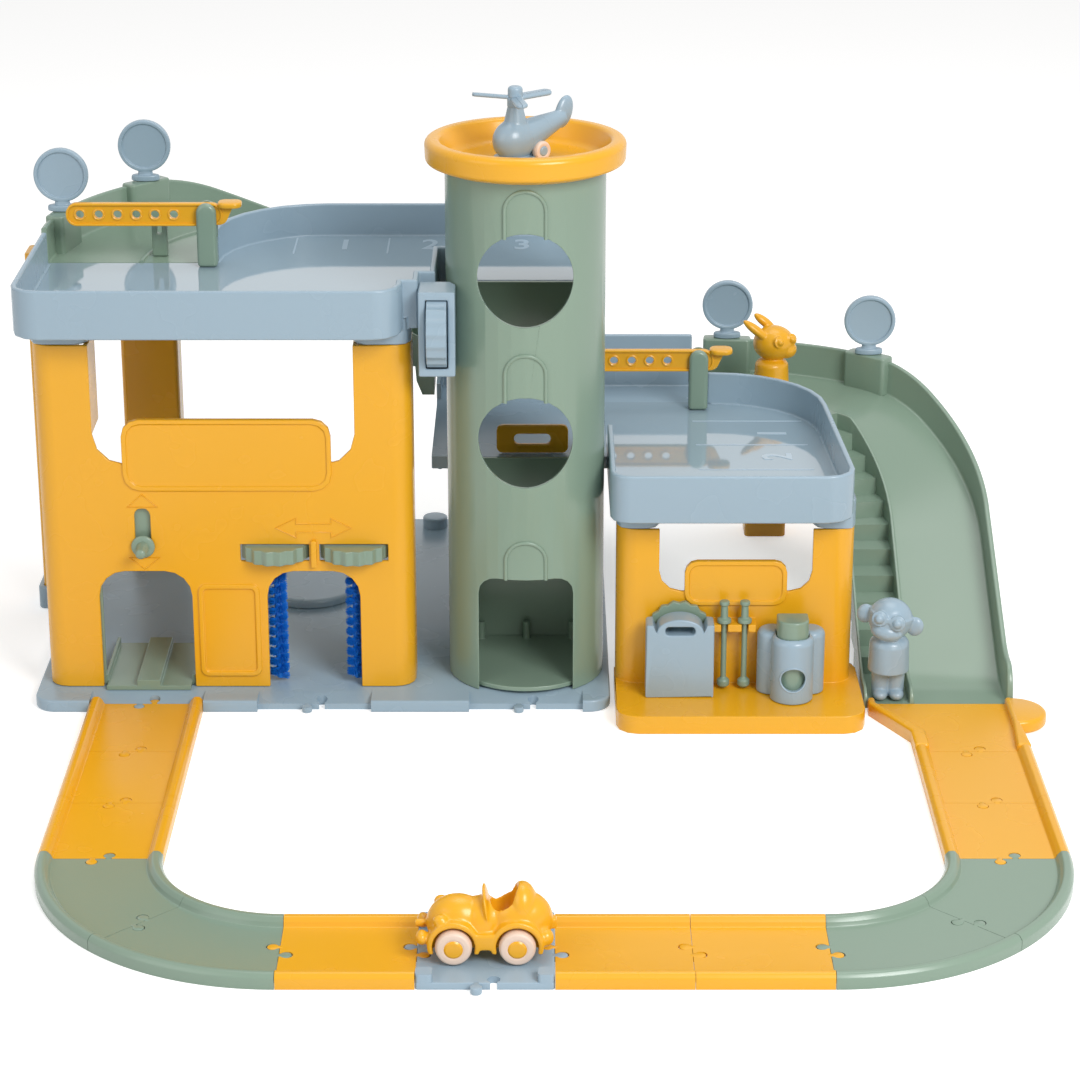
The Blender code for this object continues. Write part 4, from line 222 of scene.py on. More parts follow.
FINISHES = {
    Tone.YELLOW: Plastic("Yellow moulded plastic", (232, 169, 28), 0.27),
    Tone.GREEN: Plastic("Sage green moulded plastic", (130, 152, 135), 0.24),
    Tone.BLUE: Plastic("Grey-blue moulded plastic", (150, 172, 187), 0.27),
    Tone.POLISHED: Plastic("Polished grey-blue floor", (150, 171, 184), 0.05, 0.008, 0.008, 0.0, 0.5),
    Tone.PALE: Plastic("Pale raised marks", (178, 197, 211), 0.16),
    Tone.BEIGE: Plastic("Beige tyre plastic", (230, 205, 187), 0.42),
    Tone.BRISTLE: Plastic("Blue bristles", (18, 118, 216), 0.35, 0.05, 0.1),
}


def arc(centre: Pair, radius: float, start: float, end: float, steps: int) -> Outline:
    """Points along an arc.

    Args:
        centre: Centre of the arc.
        radius: Its radius.
        start: Angle of its first point, in degrees.
        end: Angle of its last point, in degrees.
        steps: Number of pieces that it is cut into.

    Returns:
        Its points, with both ends.
    """
    points = []
    for step in range(steps + 1):
        angle = math.radians(start + (end - start) * step / steps)
        points.append((centre[0] + radius * math.cos(angle), centre[1] + radius * math.sin(angle)))
    return points


def round_corners(corners: Sequence[Triple], steps: int = 8) -> Outline:
    """Close an outline through corners, each rounded by its own radius.

    Args:
        corners: Corner positions and radii, in order round the outline.
        steps: Number of pieces in each round corner.

    Returns:
        Points of the outline.
    """
    points = []
    count = len(corners)
    for index, (x, y, radius) in enumerate(corners):
        corner = Vector((x, y))
        before = Vector(corners[index - 1][:2]) - corner
        after = Vector(corners[(index + 1) % count][:2]) - corner
        if radius <= 0:
            points.append((x, y))
            continue
        room = min(before.length, after.length) * 0.499
        half = before.angle(after) / 2 if room > NEAR else math.pi / 2
        if half > math.radians(89) or half < math.radians(1):
            points += [(x, y)] * (steps + 1)
            continue
        reach = min(radius / math.tan(half), room)
        size = reach * math.tan(half)
        centre = corner + (before.normalized() + after.normalized()).normalized() * size / math.sin(half)
        first = corner + before.normalized() * reach - centre
        last = corner + after.normalized() * reach - centre
        for step in range(steps + 1):
            along = first.slerp(last, step / steps).normalized() * size
            points.append((centre.x + along.x, centre.y + along.y))
    return points


def rounded_box_outline(x: Pair, y: Pair, radius: float, steps: int = 8) -> Outline:
    """Rectangle between pairs of limits, with round corners."""
    return round_corners(
        [(x[0], y[0], radius), (x[1], y[0], radius), (x[1], y[1], radius), (x[0], y[1], radius)], steps
    )


def sharp_edges(bm: Shape, shortest: float, angle: float, barred: set[int]) -> list[bmesh.types.BMEdge]:
    """Edges that can take a round.

    Args:
        bm: Shape that they belong to.
        shortest: Length from which an edge is rounded.
        angle: Angle in degrees from which an edge counts as sharp.
        barred: Indices of edges that stay as they are.

    Returns:
        The edges.
    """
    found = []
    for edge in bm.edges:
        if edge.index in barred or len(edge.link_faces) != 2:
            continue
        if edge.calc_face_angle(0.0) > math.radians(angle) and edge.calc_length() > shortest:
            found.append(edge)
    return found


def round_edges(bm: Shape, edges: Sequence[bmesh.types.BMEdge], width: float, segments: int) -> None:
    """Round edges in place.

    Args:
        bm: Shape that they belong to.
        edges: Edges to round.
        width: Radius of the round.
        segments: Number of pieces in it.
    """
    bmesh.ops.bevel(
        bm,
        geom=list(edges),
        offset=width,
        offset_type="OFFSET",
        segments=segments,
        profile=0.5,
        affect="EDGES",
        clamp_overlap=False,
        material=-1,
    )


def soften(source: Shape, width: float, shortest: float, segments: int = 3, angle: float = 32.0) -> Shape:
    """Round the sharp edges of a shape, apart from those where a round would stray from it.

    Args:
        source: Shape, which is used up.
        width: Radius of the round.
        shortest: Length from which an edge is rounded.
        segments: Number of pieces in it.
        angle: Angle in degrees from which an edge counts as sharp.

    Returns:
        The rounded shape.
    """
    source.edges.index_update()
    surface = BVHTree.FromBMesh(source)
    barred: set[int] = set()
    for _ in range(8):
        bm = source.copy()
        bm.edges.index_update()
        round_edges(bm, sharp_edges(bm, shortest, angle, barred), width, segments)
        strays = {vert for vert in bm.verts if surface.find_nearest(vert.co)[3] > width * 0.5}
        if not strays:
            break
        beside = KDTree(len(bm.verts))
        for index, vert in enumerate(bm.verts):
            if vert not in strays and any(edge.other_vert(vert) in strays for edge in vert.link_edges):
                beside.insert(vert.co, index)
        beside.balance()
        for edge in source.edges:
            distances = [beside.find(vert.co)[2] for vert in edge.verts]
            if any(distance is not None and distance < width * 2.2 for distance in distances):
                barred.add(edge.index)
    source.free()
    return bm


def slab(
    outline: Iterable[Pair],
    span: Pair,
    plane: Plane = Plane.XY,
    edge: float = 0.0,
    holes: Sequence[Outline] = (),
    segments: int = 3,
) -> Shape:
    """Give a flat outline a thickness and round its rims.

    Args:
        outline: Outer outline in the plane.
        span: Lowest and highest place of the thickness.
        plane: Plane that the outline lies in.
        edge: Radius of the rims.
        holes: Outlines that stay open.
        segments: Number of pieces in each round rim.

    Returns:
        A closed shape.
    """
    bm = bmesh.new()
    edges = []
    for ring in (list(outline), *holes):
        distinct = [point for index, point in enumerate(ring) if math.dist(point, ring[index - 1]) > NEAR]
        verts = [bm.verts.new((x, y, span[0])) for x, y in distinct]
        edges += [bm.edges.new(pair) for pair in zip(verts, verts[1:] + verts[:1])]
    bmesh.ops.triangle_fill(bm, use_beauty=True, use_dissolve=True, edges=edges)
    grown = bmesh.ops.extrude_face_region(bm, geom=list(bm.faces), use_keep_orig=True)
    lifted = [item for item in grown["geom"] if isinstance(item, bmesh.types.BMVert)]
    bmesh.ops.translate(bm, vec=(0, 0, span[1] - span[0]), verts=lifted)
    bmesh.ops.recalc_face_normals(bm, faces=bm.faces)
    if edge:
        round_edges(bm, sharp_edges(bm, edge * 0.3, 50.0, set()), edge, segments)
    bm.transform(plane.value)
    bmesh.ops.recalc_face_normals(bm, faces=bm.faces)
    return bm


def spun(
    profile: Sequence[Pair],
    centre: Sequence[float],
    axis: Axis = Axis.Z,
    steps: int = 56,
    stretch: Pair = (1.0, 1.0),
) -> Shape:
    """Spin a profile of radii and heights about an axis through a centre.

    Args:
        profile: Radii and heights along the profile.
        centre: Point that the heights are counted from.
        axis: Direction of the axis.
        steps: Number of pieces round the turn.
        stretch: Factors across the axis, for an oval.

    Returns:
        A closed shape.
    """
    bm = bmesh.new()
    verts = [bm.verts.new((radius, 0.0, height)) for radius, height in profile]
    edges = [bm.edges.new(pair) for pair in zip(verts, verts[1:])]
    bmesh.ops.spin(
        bm,
        geom=verts + edges,
        cent=(0, 0, 0),
        axis=(0, 0, 1),
        dvec=(0, 0, 0),
        angle=math.tau,
        steps=steps,
        use_merge=True,
        use_duplicate=False,
    )
    bmesh.ops.remove_doubles(bm, verts=bm.verts, dist=0.005 * MM)
    bmesh.ops.recalc_face_normals(bm, faces=bm.faces)
    bm.transform(Matrix.Diagonal((*stretch, 1.0, 1.0)))
    bm.transform(Matrix.Translation(centre) @ axis.value)
    return bm


def round_profile(points: Sequence[Triple], steps: int = 6) -> Outline:
    """Round the inner corners of an open profile.

    Args:
        points: Radius, height and corner radius at each point.
        steps: Number of pieces in each round corner.

    Returns:
        Points along the profile, with its ends kept.
    """
    ends = (0, len(points) - 1)
    kept = [(x, y, 0.0 if index in ends else radius) for index, (x, y, radius) in enumerate(points)]
    return round_corners(kept, steps)


def rod(radius: float, span: Pair, centre: Sequence[float], axis: Axis, steps: int) -> Shape:
    """Plain round bar between two heights along an axis through a centre."""
    return spun([(0.0, span[0]), (radius, span[0]), (radius, span[1]), (0.0, span[1])], centre, axis, steps)


def swept(rings: Sequence[Sequence[Sequence[float]]], merge: float = 0.0) -> Shape:
    """Lay a closed skin over rings of points that follow each other.

    Args:
        rings: Points of each ring, all of the same number.
        merge: Distance below which points become one.

    Returns:
        A shape with flat ends.
    """
    bm = bmesh.new()
    loops = [[bm.verts.new(point) for point in ring] for ring in rings]
    for ring, following in zip(loops, loops[1:]):
        for index, vert in enumerate(ring):
            bm.faces.new((ring[index - 1], vert, following[index], following[index - 1]))
    bm.faces.new(loops[0])
    bm.faces.new(loops[-1])
    if merge:
        bmesh.ops.remove_doubles(bm, verts=bm.verts, dist=merge)
    bmesh.ops.recalc_face_normals(bm, faces=bm.faces)
    return bm


def placed(spot: Pair, heading: float) -> Matrix:
    """Place on the ground, turned by a heading in degrees."""
    return Matrix.Translation((*spot, 0.0)) @ Matrix.Rotation(math.radians(heading), 4, "Z")


def box_middle(low: Vector, high: Vector) -> Pair:
    """Middle of a box as seen from above."""
    return ((low.x + high.x) / 2, (low.y + high.y) / 2)


def evaluated(item: bpy.types.Object) -> Shape:
    """Read an object with its modifiers applied, and remove it.

    Args:
        item: Working object, which is used up.

    Returns:
        Its shape, in place.
    """
    bpy.context.view_layer.update()
    graph = bpy.context.evaluated_depsgraph_get()
    mesh = bpy.data.meshes.new_from_object(item.evaluated_get(graph))
    bm = bmesh.new()
    bm.from_mesh(mesh)
    bm.transform(item.matrix_world)
    bpy.data.meshes.remove(mesh)
    bpy.data.objects.remove(item)
    return bm


def loose(bm: Shape) -> bpy.types.Object:
    """Make a working object from a shape.

    Args:
        bm: Shape, which is used up.

    Returns:
        The object, linked to the scene.
    """
    mesh = bpy.data.meshes.new("working")
    bm.to_mesh(mesh)
    bm.free()
    item = bpy.data.objects.new("working", mesh)
    bpy.context.scene.collection.objects.link(item)
    return item


def carve(bm: Shape, *tools: Shape) -> Shape:
    """Cut tools out of a shape.

    Args:
        bm: Shape, which is used up.
        tools: Shapes that are cut out, which are used up too.

    Returns:
        What is left of the shape.
    """
    item = loose(bm)
    cutters = [loose(tool) for tool in tools]
    for cutter in cutters:
        modifier = item.modifiers.new("cut", "BOOLEAN")
        modifier.operation = "DIFFERENCE"
        modifier.solver = "EXACT"
        modifier.object = cutter
    result = evaluated(item)
    for cutter in cutters:
        bpy.data.objects.remove(cutter)
    return result


def tube(points: Sequence[Sequence[float]], radius: float, closed: bool = False) -> Shape:
    """Round bead along points.

    Args:
        points: Points that its middle line goes through.
        radius: Radius of the bead.
        closed: Whether its last point is joined to its first.

    Returns:
        The bead's shape.
    """
    curve = bpy.data.curves.new("bead", "CURVE")
    curve.dimensions = "3D"
    curve.bevel_depth = radius
    curve.bevel_resolution = 3
    curve.use_fill_caps = True
    line = curve.splines.new("POLY")
    line.points.add(len(points) - 1)
    for spot, point in zip(line.points, points):
        spot.co = (*point, 1.0)
    line.use_cyclic_u = closed
    item = bpy.data.objects.new("bead", curve)
    bpy.context.scene.collection.objects.link(item)
    bm = evaluated(item)
    bmesh.ops.remove_doubles(bm, verts=bm.verts, dist=NEAR)
    return bm


def raised_number(text: str, size: float, place: Matrix, height: float) -> Shape:
    """One plain raised numeral.

    Args:
        text: The numeral.
        size: Size of its letters.
        place: Place of its middle, with the numeral flat on XY before it.
        height: How far it stands above and below that plane.

    Returns:
        The numeral's shape.
    """
    curve = bpy.data.curves.new("numeral", "FONT")
    curve.body = text
    curve.size = size
    curve.align_x = "CENTER"
    curve.align_y = "CENTER"
    curve.extrude = height
    curve.offset = 0.02 * size
    item = bpy.data.objects.new("numeral", curve)
    bpy.context.scene.collection.objects.link(item)
    bm = evaluated(item)
    bmesh.ops.remove_doubles(bm, verts=bm.verts, dist=NEAR)
    bm.transform(place)
    return bm


def joined(*parts: Shape) -> Shape:
    """Gather several shapes in one.

    Args:
        parts: Shapes, which are used up.

    Returns:
        A shape that holds them all.
    """
    whole = bmesh.new()
    for part in parts:
        mesh = bpy.data.meshes.new("part")
        part.to_mesh(mesh)
        part.free()
        whole.from_mesh(mesh)
        bpy.data.meshes.remove(mesh)
    return whole


@dataclass
class Clay:
    """Simple solids melted into one body and smoothed, as a soft-edged moulding is.

    Args:
        voxel: Size of the grid that the body is melted on.
    """

    voxel: float = 0.5 * MM
    lump: Shape = field(default_factory=bmesh.new)

    def ball(self, centre: Sequence[float], radii: Sequence[float], turn: Matrix = UNTURNED) -> None:
        """Add an ellipsoid."""
        place = Matrix.Translation(centre) @ turn @ Matrix.Diagonal((*radii, 1.0))
        bmesh.ops.create_uvsphere(self.lump, u_segments=40, v_segments=24, radius=1.0, matrix=place)

    def peg(
        self, start: Sequence[float], end: Sequence[float], radius: float, far: float | None = None
    ) -> None:
        """Add a round bar.

        Args:
            start: Middle of its first end.
            end: Middle of its other end.
            radius: Radius at the first end.
            far: Radius at the other end, if the bar is tapered.
        """
        line = Vector(end) - Vector(start)
        turn = Vector((0, 0, 1)).rotation_difference(line).to_matrix().to_4x4()
        middle = Matrix.Translation((Vector(start) + Vector(end)) / 2)
        bmesh.ops.create_cone(
            self.lump,
            cap_ends=True,
            segments=40,
            radius1=radius,
            radius2=radius if far is None else far,
            depth=line.length,
            matrix=middle @ turn,
        )

    def shape(self, bm: Shape) -> None:
        """Add a shape, which is used up."""
        self.lump = joined(self.lump, bm)

    def block(self, centre: Sequence[float], size: Sequence[float]) -> None:
        """Add a box."""
        place = Matrix.Translation(centre) @ Matrix.Diagonal((*size, 1.0))
        bmesh.ops.create_cube(self.lump, size=1.0, matrix=place)

    def melted(self, rounds: int = 6, cuts: Sequence[Shape] = ()) -> Shape:
        """Melt the solids together, cut tools out and smooth the result.

        Args:
            rounds: Number of smoothing rounds.
            cuts: Shapes that are cut out before the last smoothing.

        Returns:
            One closed shape.
        """
        body = self._remeshed(self.lump)
        if cuts:
            body = self._remeshed(carve(body, *cuts))
        for _ in range(rounds):
            bmesh.ops.smooth_vert(
                body, verts=body.verts, factor=0.5, use_axis_x=True, use_axis_y=True, use_axis_z=True
            )
        return body

    def _remeshed(self, bm: Shape) -> Shape:
        """Melt a shape on the grid.

        Args:
            bm: Shape, which is used up.

        Returns:
            The melted shape.
        """
        item = loose(bm)
        melt = item.modifiers.new("melt", "REMESH")
        melt.mode = "VOXEL"
        melt.voxel_size = self.voxel
        return evaluated(item)


@dataclass
class Workshop:
    """Finishes shapes and hands them to the frame."""

    materials: dict[Tone, bpy.types.Material] = field(default_factory=dict)
    made: int = 0

    def prepare(self) -> None:
        """Build the materials."""
        for tone, plastic in FINISHES.items():
            self.materials[tone] = plastic.material()

    def finish(
        self,
        name: str,
        bm: Shape,
        tone: Tone,
        node: str = "",
        body: str = "garage",
        sharp: float = 42.0,
        even: bool = False,
    ) -> bpy.types.Object:
        """Turn a shape into a piece that rides on a body.

        Args:
            name: Name of the piece.
            bm: Its shape, in place.
            tone: Its colour.
            node: Node of the model that it replaces, if it replaces one.
            body: Body that it rides on.
            sharp: Angle from which an edge is drawn sharp.
            even: Whether flat faces keep their own light beside round edges.

        Returns:
            The finished object.
        """
        mesh = bpy.data.meshes.new(name)
        bm.to_mesh(mesh)
        bm.free()
        mesh.materials.append(self.materials[tone])
        mesh.shade_smooth()
        mesh.set_sharp_from_angle(angle=math.radians(sharp))
        item = bpy.data.objects.new(name, mesh)
        bpy.context.scene.collection.objects.link(item)
        if even:
            light = item.modifiers.new("Even light", "WEIGHTED_NORMAL")
            light.keep_sharp = True
        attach(item, body)
        if node:
            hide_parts(node)
        self.made += 1
        LOG.info("%s: %d faces", name, len(mesh.polygons))
        return item

    def moulding(
        self,
        node: str,
        edge: float,
        tone: Tone,
        body: str = "garage",
        polished: float | None = None,
        bores: Sequence[Shape] = (),
    ) -> None:
        """Replace a node by a copy of it with round edges.

        Args:
            node: Name of the node.
            edge: Radius of its edges.
            tone: Its colour.
            body: Body that it rides on.
            polished: Height of a floor that is polished, if it has one.
            bores: Shapes that make its openings smoothly round.
        """
        copy = merged_copy(node)
        bm = soften(carve(copy, *bores) if bores else copy, edge, edge * 0.6)
        if polished is not None:
            for face in bm.faces:
                if face.normal.z > 0.99 and abs(face.calc_center_median().z - polished) < 0.2 * MM:
                    face.material_index = 1
        item = self.finish(f"{node}_moulding", bm, tone, node, body, even=True)
        if polished is not None:
            item.data.materials.append(self.materials[Tone.POLISHED])


def merged_copy(node: str) -> Shape:
    """Copy a node's mesh with its points merged and its flat faces whole.

    Args:
        node: Name of the node.

    Returns:
        The copy.
    """
    bm = bmesh.new()
    bm.from_mesh(frame["nodes"][node].data)
    bmesh.ops.remove_doubles(bm, verts=bm.verts, dist=0.01 * MM)
    bmesh.ops.dissolve_limit(
        bm, angle_limit=math.radians(0.6), verts=bm.verts, edges=bm.edges, use_dissolve_boundaries=False
    )
    return bm


@dataclass
class Studio:
    """Camera, soft lights, pale floor and background of the picture."""

    camera_place: Triple = (0.009, -1.853, 0.785)
    camera_tilt: float = 69.6
    lens: float = 102.23
    sensor: float = 36.0

    def build(self) -> None:
        """Set up the whole studio."""
        self._camera()
        self._floor()
        self._world()
        self._light("Key light", (1.0, -1.6, 1.45), 0.9, 34.0)
        self._light("Fill light", (-1.5, -1.3, 1.1), 1.3, 7.0)
        self._light("Top light", (0.2, 0.3, 2.2), 1.3, 13.0)
        bpy.context.scene.view_settings.view_transform = "Standard"

    def _camera(self) -> None:
        """Camera at the picture's height and angle."""
        data = bpy.data.cameras.new("Camera")
        data.lens = self.lens
        data.sensor_width = self.sensor
        data.sensor_fit = "HORIZONTAL"
        data.clip_end = 20.0
        camera = bpy.data.objects.new("Camera", data)
        camera.location = self.camera_place
        camera.rotation_euler = (math.radians(self.camera_tilt), 0.0, 0.0)
        bpy.context.scene.collection.objects.link(camera)
        bpy.context.scene.camera = camera

    def _floor(self) -> None:
        """Wide white floor that keeps a soft shadow."""
        bm = bmesh.new()
        bmesh.ops.create_grid(bm, x_segments=1, y_segments=1, size=8.0)
        bmesh.ops.translate(bm, vec=(0, 0, -0.05 * MM), verts=bm.verts)
        mesh = bpy.data.meshes.new("Floor")
        bm.to_mesh(mesh)
        bm.free()
        floor = bpy.data.objects.new("Floor", mesh)
        bpy.context.scene.collection.objects.link(floor)
        material = bpy.data.materials.new("White floor")
        material.use_nodes = True
        tree = material.node_tree
        tree.nodes.clear()
        new = tree.nodes.new
        plain = fed(new("ShaderNodeBsdfDiffuse"), {"Color": (0.86, 0.86, 0.86, 1.0)})
        glow = fed(new("ShaderNodeEmission"), {"Color": WHITE, "Strength": 0.5})
        both = fed(new("ShaderNodeAddShader"), {0: plain.outputs[0], 1: glow.outputs[0]})
        seen = self._seen(tree)
        pick = fed(new("ShaderNodeMixShader"), {0: seen, 1: plain.outputs[0], 2: both.outputs[0]})
        fed(new("ShaderNodeOutputMaterial"), {"Surface": pick.outputs[0]})
        mesh.materials.append(material)

    def _seen(self, tree: bpy.types.NodeTree) -> bpy.types.NodeSocket:
        """Whether a ray comes from the camera or from a mirror-like surface.

        Args:
            tree: Node tree that the test is added to.

        Returns:
            Socket that is 1 for such a ray.
        """
        rays = tree.nodes.new("ShaderNodeLightPath").outputs
        seen = fed(tree.nodes.new("ShaderNodeMath"), {0: rays["Is Camera Ray"], 1: rays["Is Glossy Ray"]})
        seen.operation = "MAXIMUM"
        return seen.outputs[0]

    def _world(self) -> None:
        """White background over a softer surrounding light."""
        world = bpy.data.worlds.new("World")
        bpy.context.scene.world = world
        world.use_nodes = True
        tree = world.node_tree
        tree.nodes.clear()
        new = tree.nodes.new
        soft = fed(new("ShaderNodeBackground"), {"Color": (1.0, 0.99, 0.975, 1.0), "Strength": 0.4})
        white = fed(new("ShaderNodeBackground"), {"Color": WHITE, "Strength": 1.0})
        seen = self._seen(tree)
        pick = fed(new("ShaderNodeMixShader"), {0: seen, 1: soft.outputs[0], 2: white.outputs[0]})
        fed(new("ShaderNodeOutputWorld"), {"Surface": pick.outputs[0]})

    def _light(self, name: str, place: Sequence[float], size: float, power: float) -> None:
        """Square soft light aimed at the middle of the garage.

        Args:
            name: Name of the light.
            place: Its place.
            size: Length of its sides.
            power: Its power in watts.
        """
        data = bpy.data.lights.new(name, "AREA")
        data.shape = "SQUARE"
        data.size = size
        data.energy = power
        light = bpy.data.objects.new(name, data)
        light.location = place
        aim = Vector((0.0, 0.0, 0.15)) - Vector(place)
        light.rotation_euler = aim.to_track_quat("-Z", "Y").to_euler()
        bpy.context.scene.collection.objects.link(light)


@dataclass
class LeftBuilding:
    """Front wall with its raised marks, the turntable, the hoist and the wash."""

    shop: Workshop
    wall_front: float = -35 * MM
    knob: Triple = (-242 * MM, -35 * MM, 105 * MM)
    brush_radius: float = 6 * MM
    brush_span: Pair = (12 * MM, 88 * MM)
    brush_top: float = 98.4 * MM
    brush_y: float = -26 * MM
    strands: int = 4200
    brush_turns: int = 11

    def build(self) -> None:
        """Make every piece of the left building."""
        self.shop.moulding("front_wall", 0.7 * MM, Tone.YELLOW)
        self.shop.moulding("turntable", 0.8 * MM, Tone.BLUE, "turntable")
        self.shop.moulding("hoist_platform", 0.4 * MM, Tone.GREEN, "hoist")
        self.shop.moulding("thumb_wheel_left", 0.7 * MM, Tone.GREEN, "wash_left")
        self.shop.moulding("thumb_wheel_right", 0.7 * MM, Tone.GREEN, "wash_right")
        self._marks()
        self._knob()
        for side, x in (("left", -159 * MM), ("right", -109 * MM)):
            self._brush(side, x)

    def _marks(self) -> None:
        """Raised arrows on the wall and the bar between the thumb wheels."""
        y = self.wall_front
        up = [(-251, 131), (-241.5, 139.5), (-232, 131)]
        down = [(-251, 97), (-241.5, 89.4), (-232, 97)]
        arrow = [(-158, 117), (-145, 123.5), (-145, 119.8), (-123, 119.8), (-123, 123.5)]
        arrow += [(-110, 117), (-123, 110.5), (-123, 114.2), (-145, 114.2), (-145, 110.5)]
        lines = []
        for path in (up, down, arrow):
            points = [(x * MM, y, z * MM) for x, z in path]
            lines.append(tube(points, 0.6 * MM, closed=True))
        bar = slab(
            rounded_box_outline((-136 * MM, -132.4 * MM), (91 * MM, 109 * MM), 1.2 * MM, 4),
            (y - 3 * MM, y + 0.5 * MM),
            Plane.XZ,
            0.5 * MM,
        )
        self.shop.finish("wall_marks", joined(*lines, bar), Tone.YELLOW)

    def _knob(self) -> None:
        """Ridged knob of the hoist."""
        x, y, z = self.knob
        profile = [(0.0, 17 * MM), (1.6 * MM, 17 * MM), (2.6 * MM, 16.4 * MM)]
        for ring in range(5):
            low = (15.8 - ring * 1.7) * MM
            profile += [(3.1 * MM, low), (3.3 * MM, low - 0.5 * MM), (3.0 * MM, low - 1.2 * MM)]
        profile += [(3.4 * MM, 7 * MM), (3.9 * MM, 5 * MM), (4.2 * MM, 3.4 * MM)]
        skirt = ((6.6, 3.0), (7.3, 2.4), (7.5, 1.8), (7.3, 1.0), (6.9, 0.6), (4.2, 0.6))
        profile += [(radius * MM, height * MM) for radius, height in skirt]
        profile += [(4.2 * MM, -3.2 * MM), (0.0, -3.2 * MM)]
        knob = spun(profile, (0, 0, 0), Axis.Z, 40)
        knob.transform(Matrix.Translation((x, y, z)) @ Matrix.Rotation(math.radians(90), 4, "X"))
        stem = rod(3.2 * MM, (0.0, 3.0 * MM), (x, y + 3 * MM, z), Axis.Y, 24)
        self.shop.finish("hoist_knob", joined(knob, stem), Tone.GREEN, "hoist_lever", "hoist")

    def _brush(self, side: str, x: float) -> None:
        """Shaft with fine bristles set in a climbing band.

        Args:
            side: Side of the wash that it stands on, as its body's name says it.
            x: Place of its axis across the garage.
        """
        y, top = self.brush_y, self.brush_top
        low, high = self.brush_span
        tip = low - 1 * MM
        profile = [(0.0, top), (2.1 * MM, top), (2.1 * MM, low), (1.2 * MM, tip), (0.0, tip)]
        core = spun(profile, (x, y, 0.0), Axis.Z, 16)
        strands = bmesh.new()
        for index in range(self.strands):
            part = index / self.strands
            angle = math.tau * self.brush_turns * part + 0.5 * math.sin(index * 2.4)
            height = low + (high - low) * part + 1.5 * MM * math.sin(index * 1.7)
            tilt = math.radians(9 * math.sin(index * 3.1))
            length = self.brush_radius * (1.02 + 0.1 * math.sin(index * 5.3))
            place = (
                Matrix.Translation((x, y, height))
                @ Matrix.Rotation(angle, 4, "Z")
                @ Matrix.Rotation(math.radians(90) + tilt, 4, "Y")
                @ Matrix.Translation((0, 0, length / 2))
            )
            bmesh.ops.create_cone(
                strands,
                cap_ends=True,
                segments=3,
                radius1=0.26 * MM,
                radius2=0.2 * MM,
                depth=length,
                matrix=place,
            )
        body = f"wash_{side}"
        self.shop.finish(f"brush_bristles_{side}", strands, Tone.BRISTLE, f"wash_brush_{side}", body)
        self.shop.finish(f"brush_shaft_{side}", core, Tone.BRISTLE, body=body)


@dataclass
class Tower:
    """Lift tower with its windows' beads, the crank, the lift and the heliport dish."""

    shop: Workshop
    radius: float = 50 * MM
    bead_half: float = 12.6 * MM
    window_radius: float = 29.3 * MM
    windows: Pair = (178 * MM, 282 * MM)
    bead_spans: tuple[Pair, ...] = ((87.0, 112.3), (204.0, 234.8), (308.0, 338.0))

    def build(self) -> None:
        """Make every piece of the tower."""
        size, reach = self.window_radius + 0.15 * MM, (-self.radius - 3 * MM, -8 * MM)
        bores = [rod(size, reach, (0.0, 0.0, height), Axis.Y, 80) for height in self.windows]
        self.shop.moulding("tower_shell", 0.5 * MM, Tone.GREEN, bores=bores)
        self.shop.moulding("tower_frame", 0.5 * MM, Tone.GREEN)
        self.shop.moulding("lift_platform", 0.6 * MM, Tone.GREEN, "lift")
        self.shop.moulding("crank_housing", 1.2 * MM, Tone.BLUE)
        self.shop.moulding("crank_wheel", 0.6 * MM, Tone.BLUE, "crank")
        self.shop.moulding("deck_guard", 0.9 * MM, Tone.YELLOW)
        self._beads()
        self._dish()

    def _beads(self) -> None:
        """Beads in the shape of an upturned U, over the door and the windows."""
        beads = []
        for low, top in self.bead_spans:
            centre = top * MM - self.bead_half
            path = [(-self.bead_half, low * MM)]
            path += arc((0.0, centre), self.bead_half, 180, 0, 24)
            path += [(self.bead_half, low * MM)]
            points = []
            for x, z in path:
                points.append((x, -math.sqrt(self.radius**2 - x**2), z))
            beads.append(tube(points, 1.25 * MM))
        self.shop.finish("tower_beads", joined(*beads), Tone.GREEN)

    def _dish(self) -> None:
        """Round-rimmed heliport dish."""
        low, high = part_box("heliport_dish")
        rim = high.x
        profile = [
            (0.0, low.z + 3.0 * MM, 0.0),
            (47 * MM, low.z + 3.0 * MM, 7 * MM),
            (53.5 * MM, high.z, 3.5 * MM),
            (rim, high.z, 4.2 * MM),
            (rim - 0.6 * MM, low.z + 3 * MM, 3.0 * MM),
            (rim - 8 * MM, low.z, 2.0 * MM),
            (0.0, low.z, 0.0),
        ]
        dish = spun(round_profile(profile, 8), (0, 0, 0), steps=96)
        self.shop.finish("heliport", dish, Tone.YELLOW, "heliport_dish")


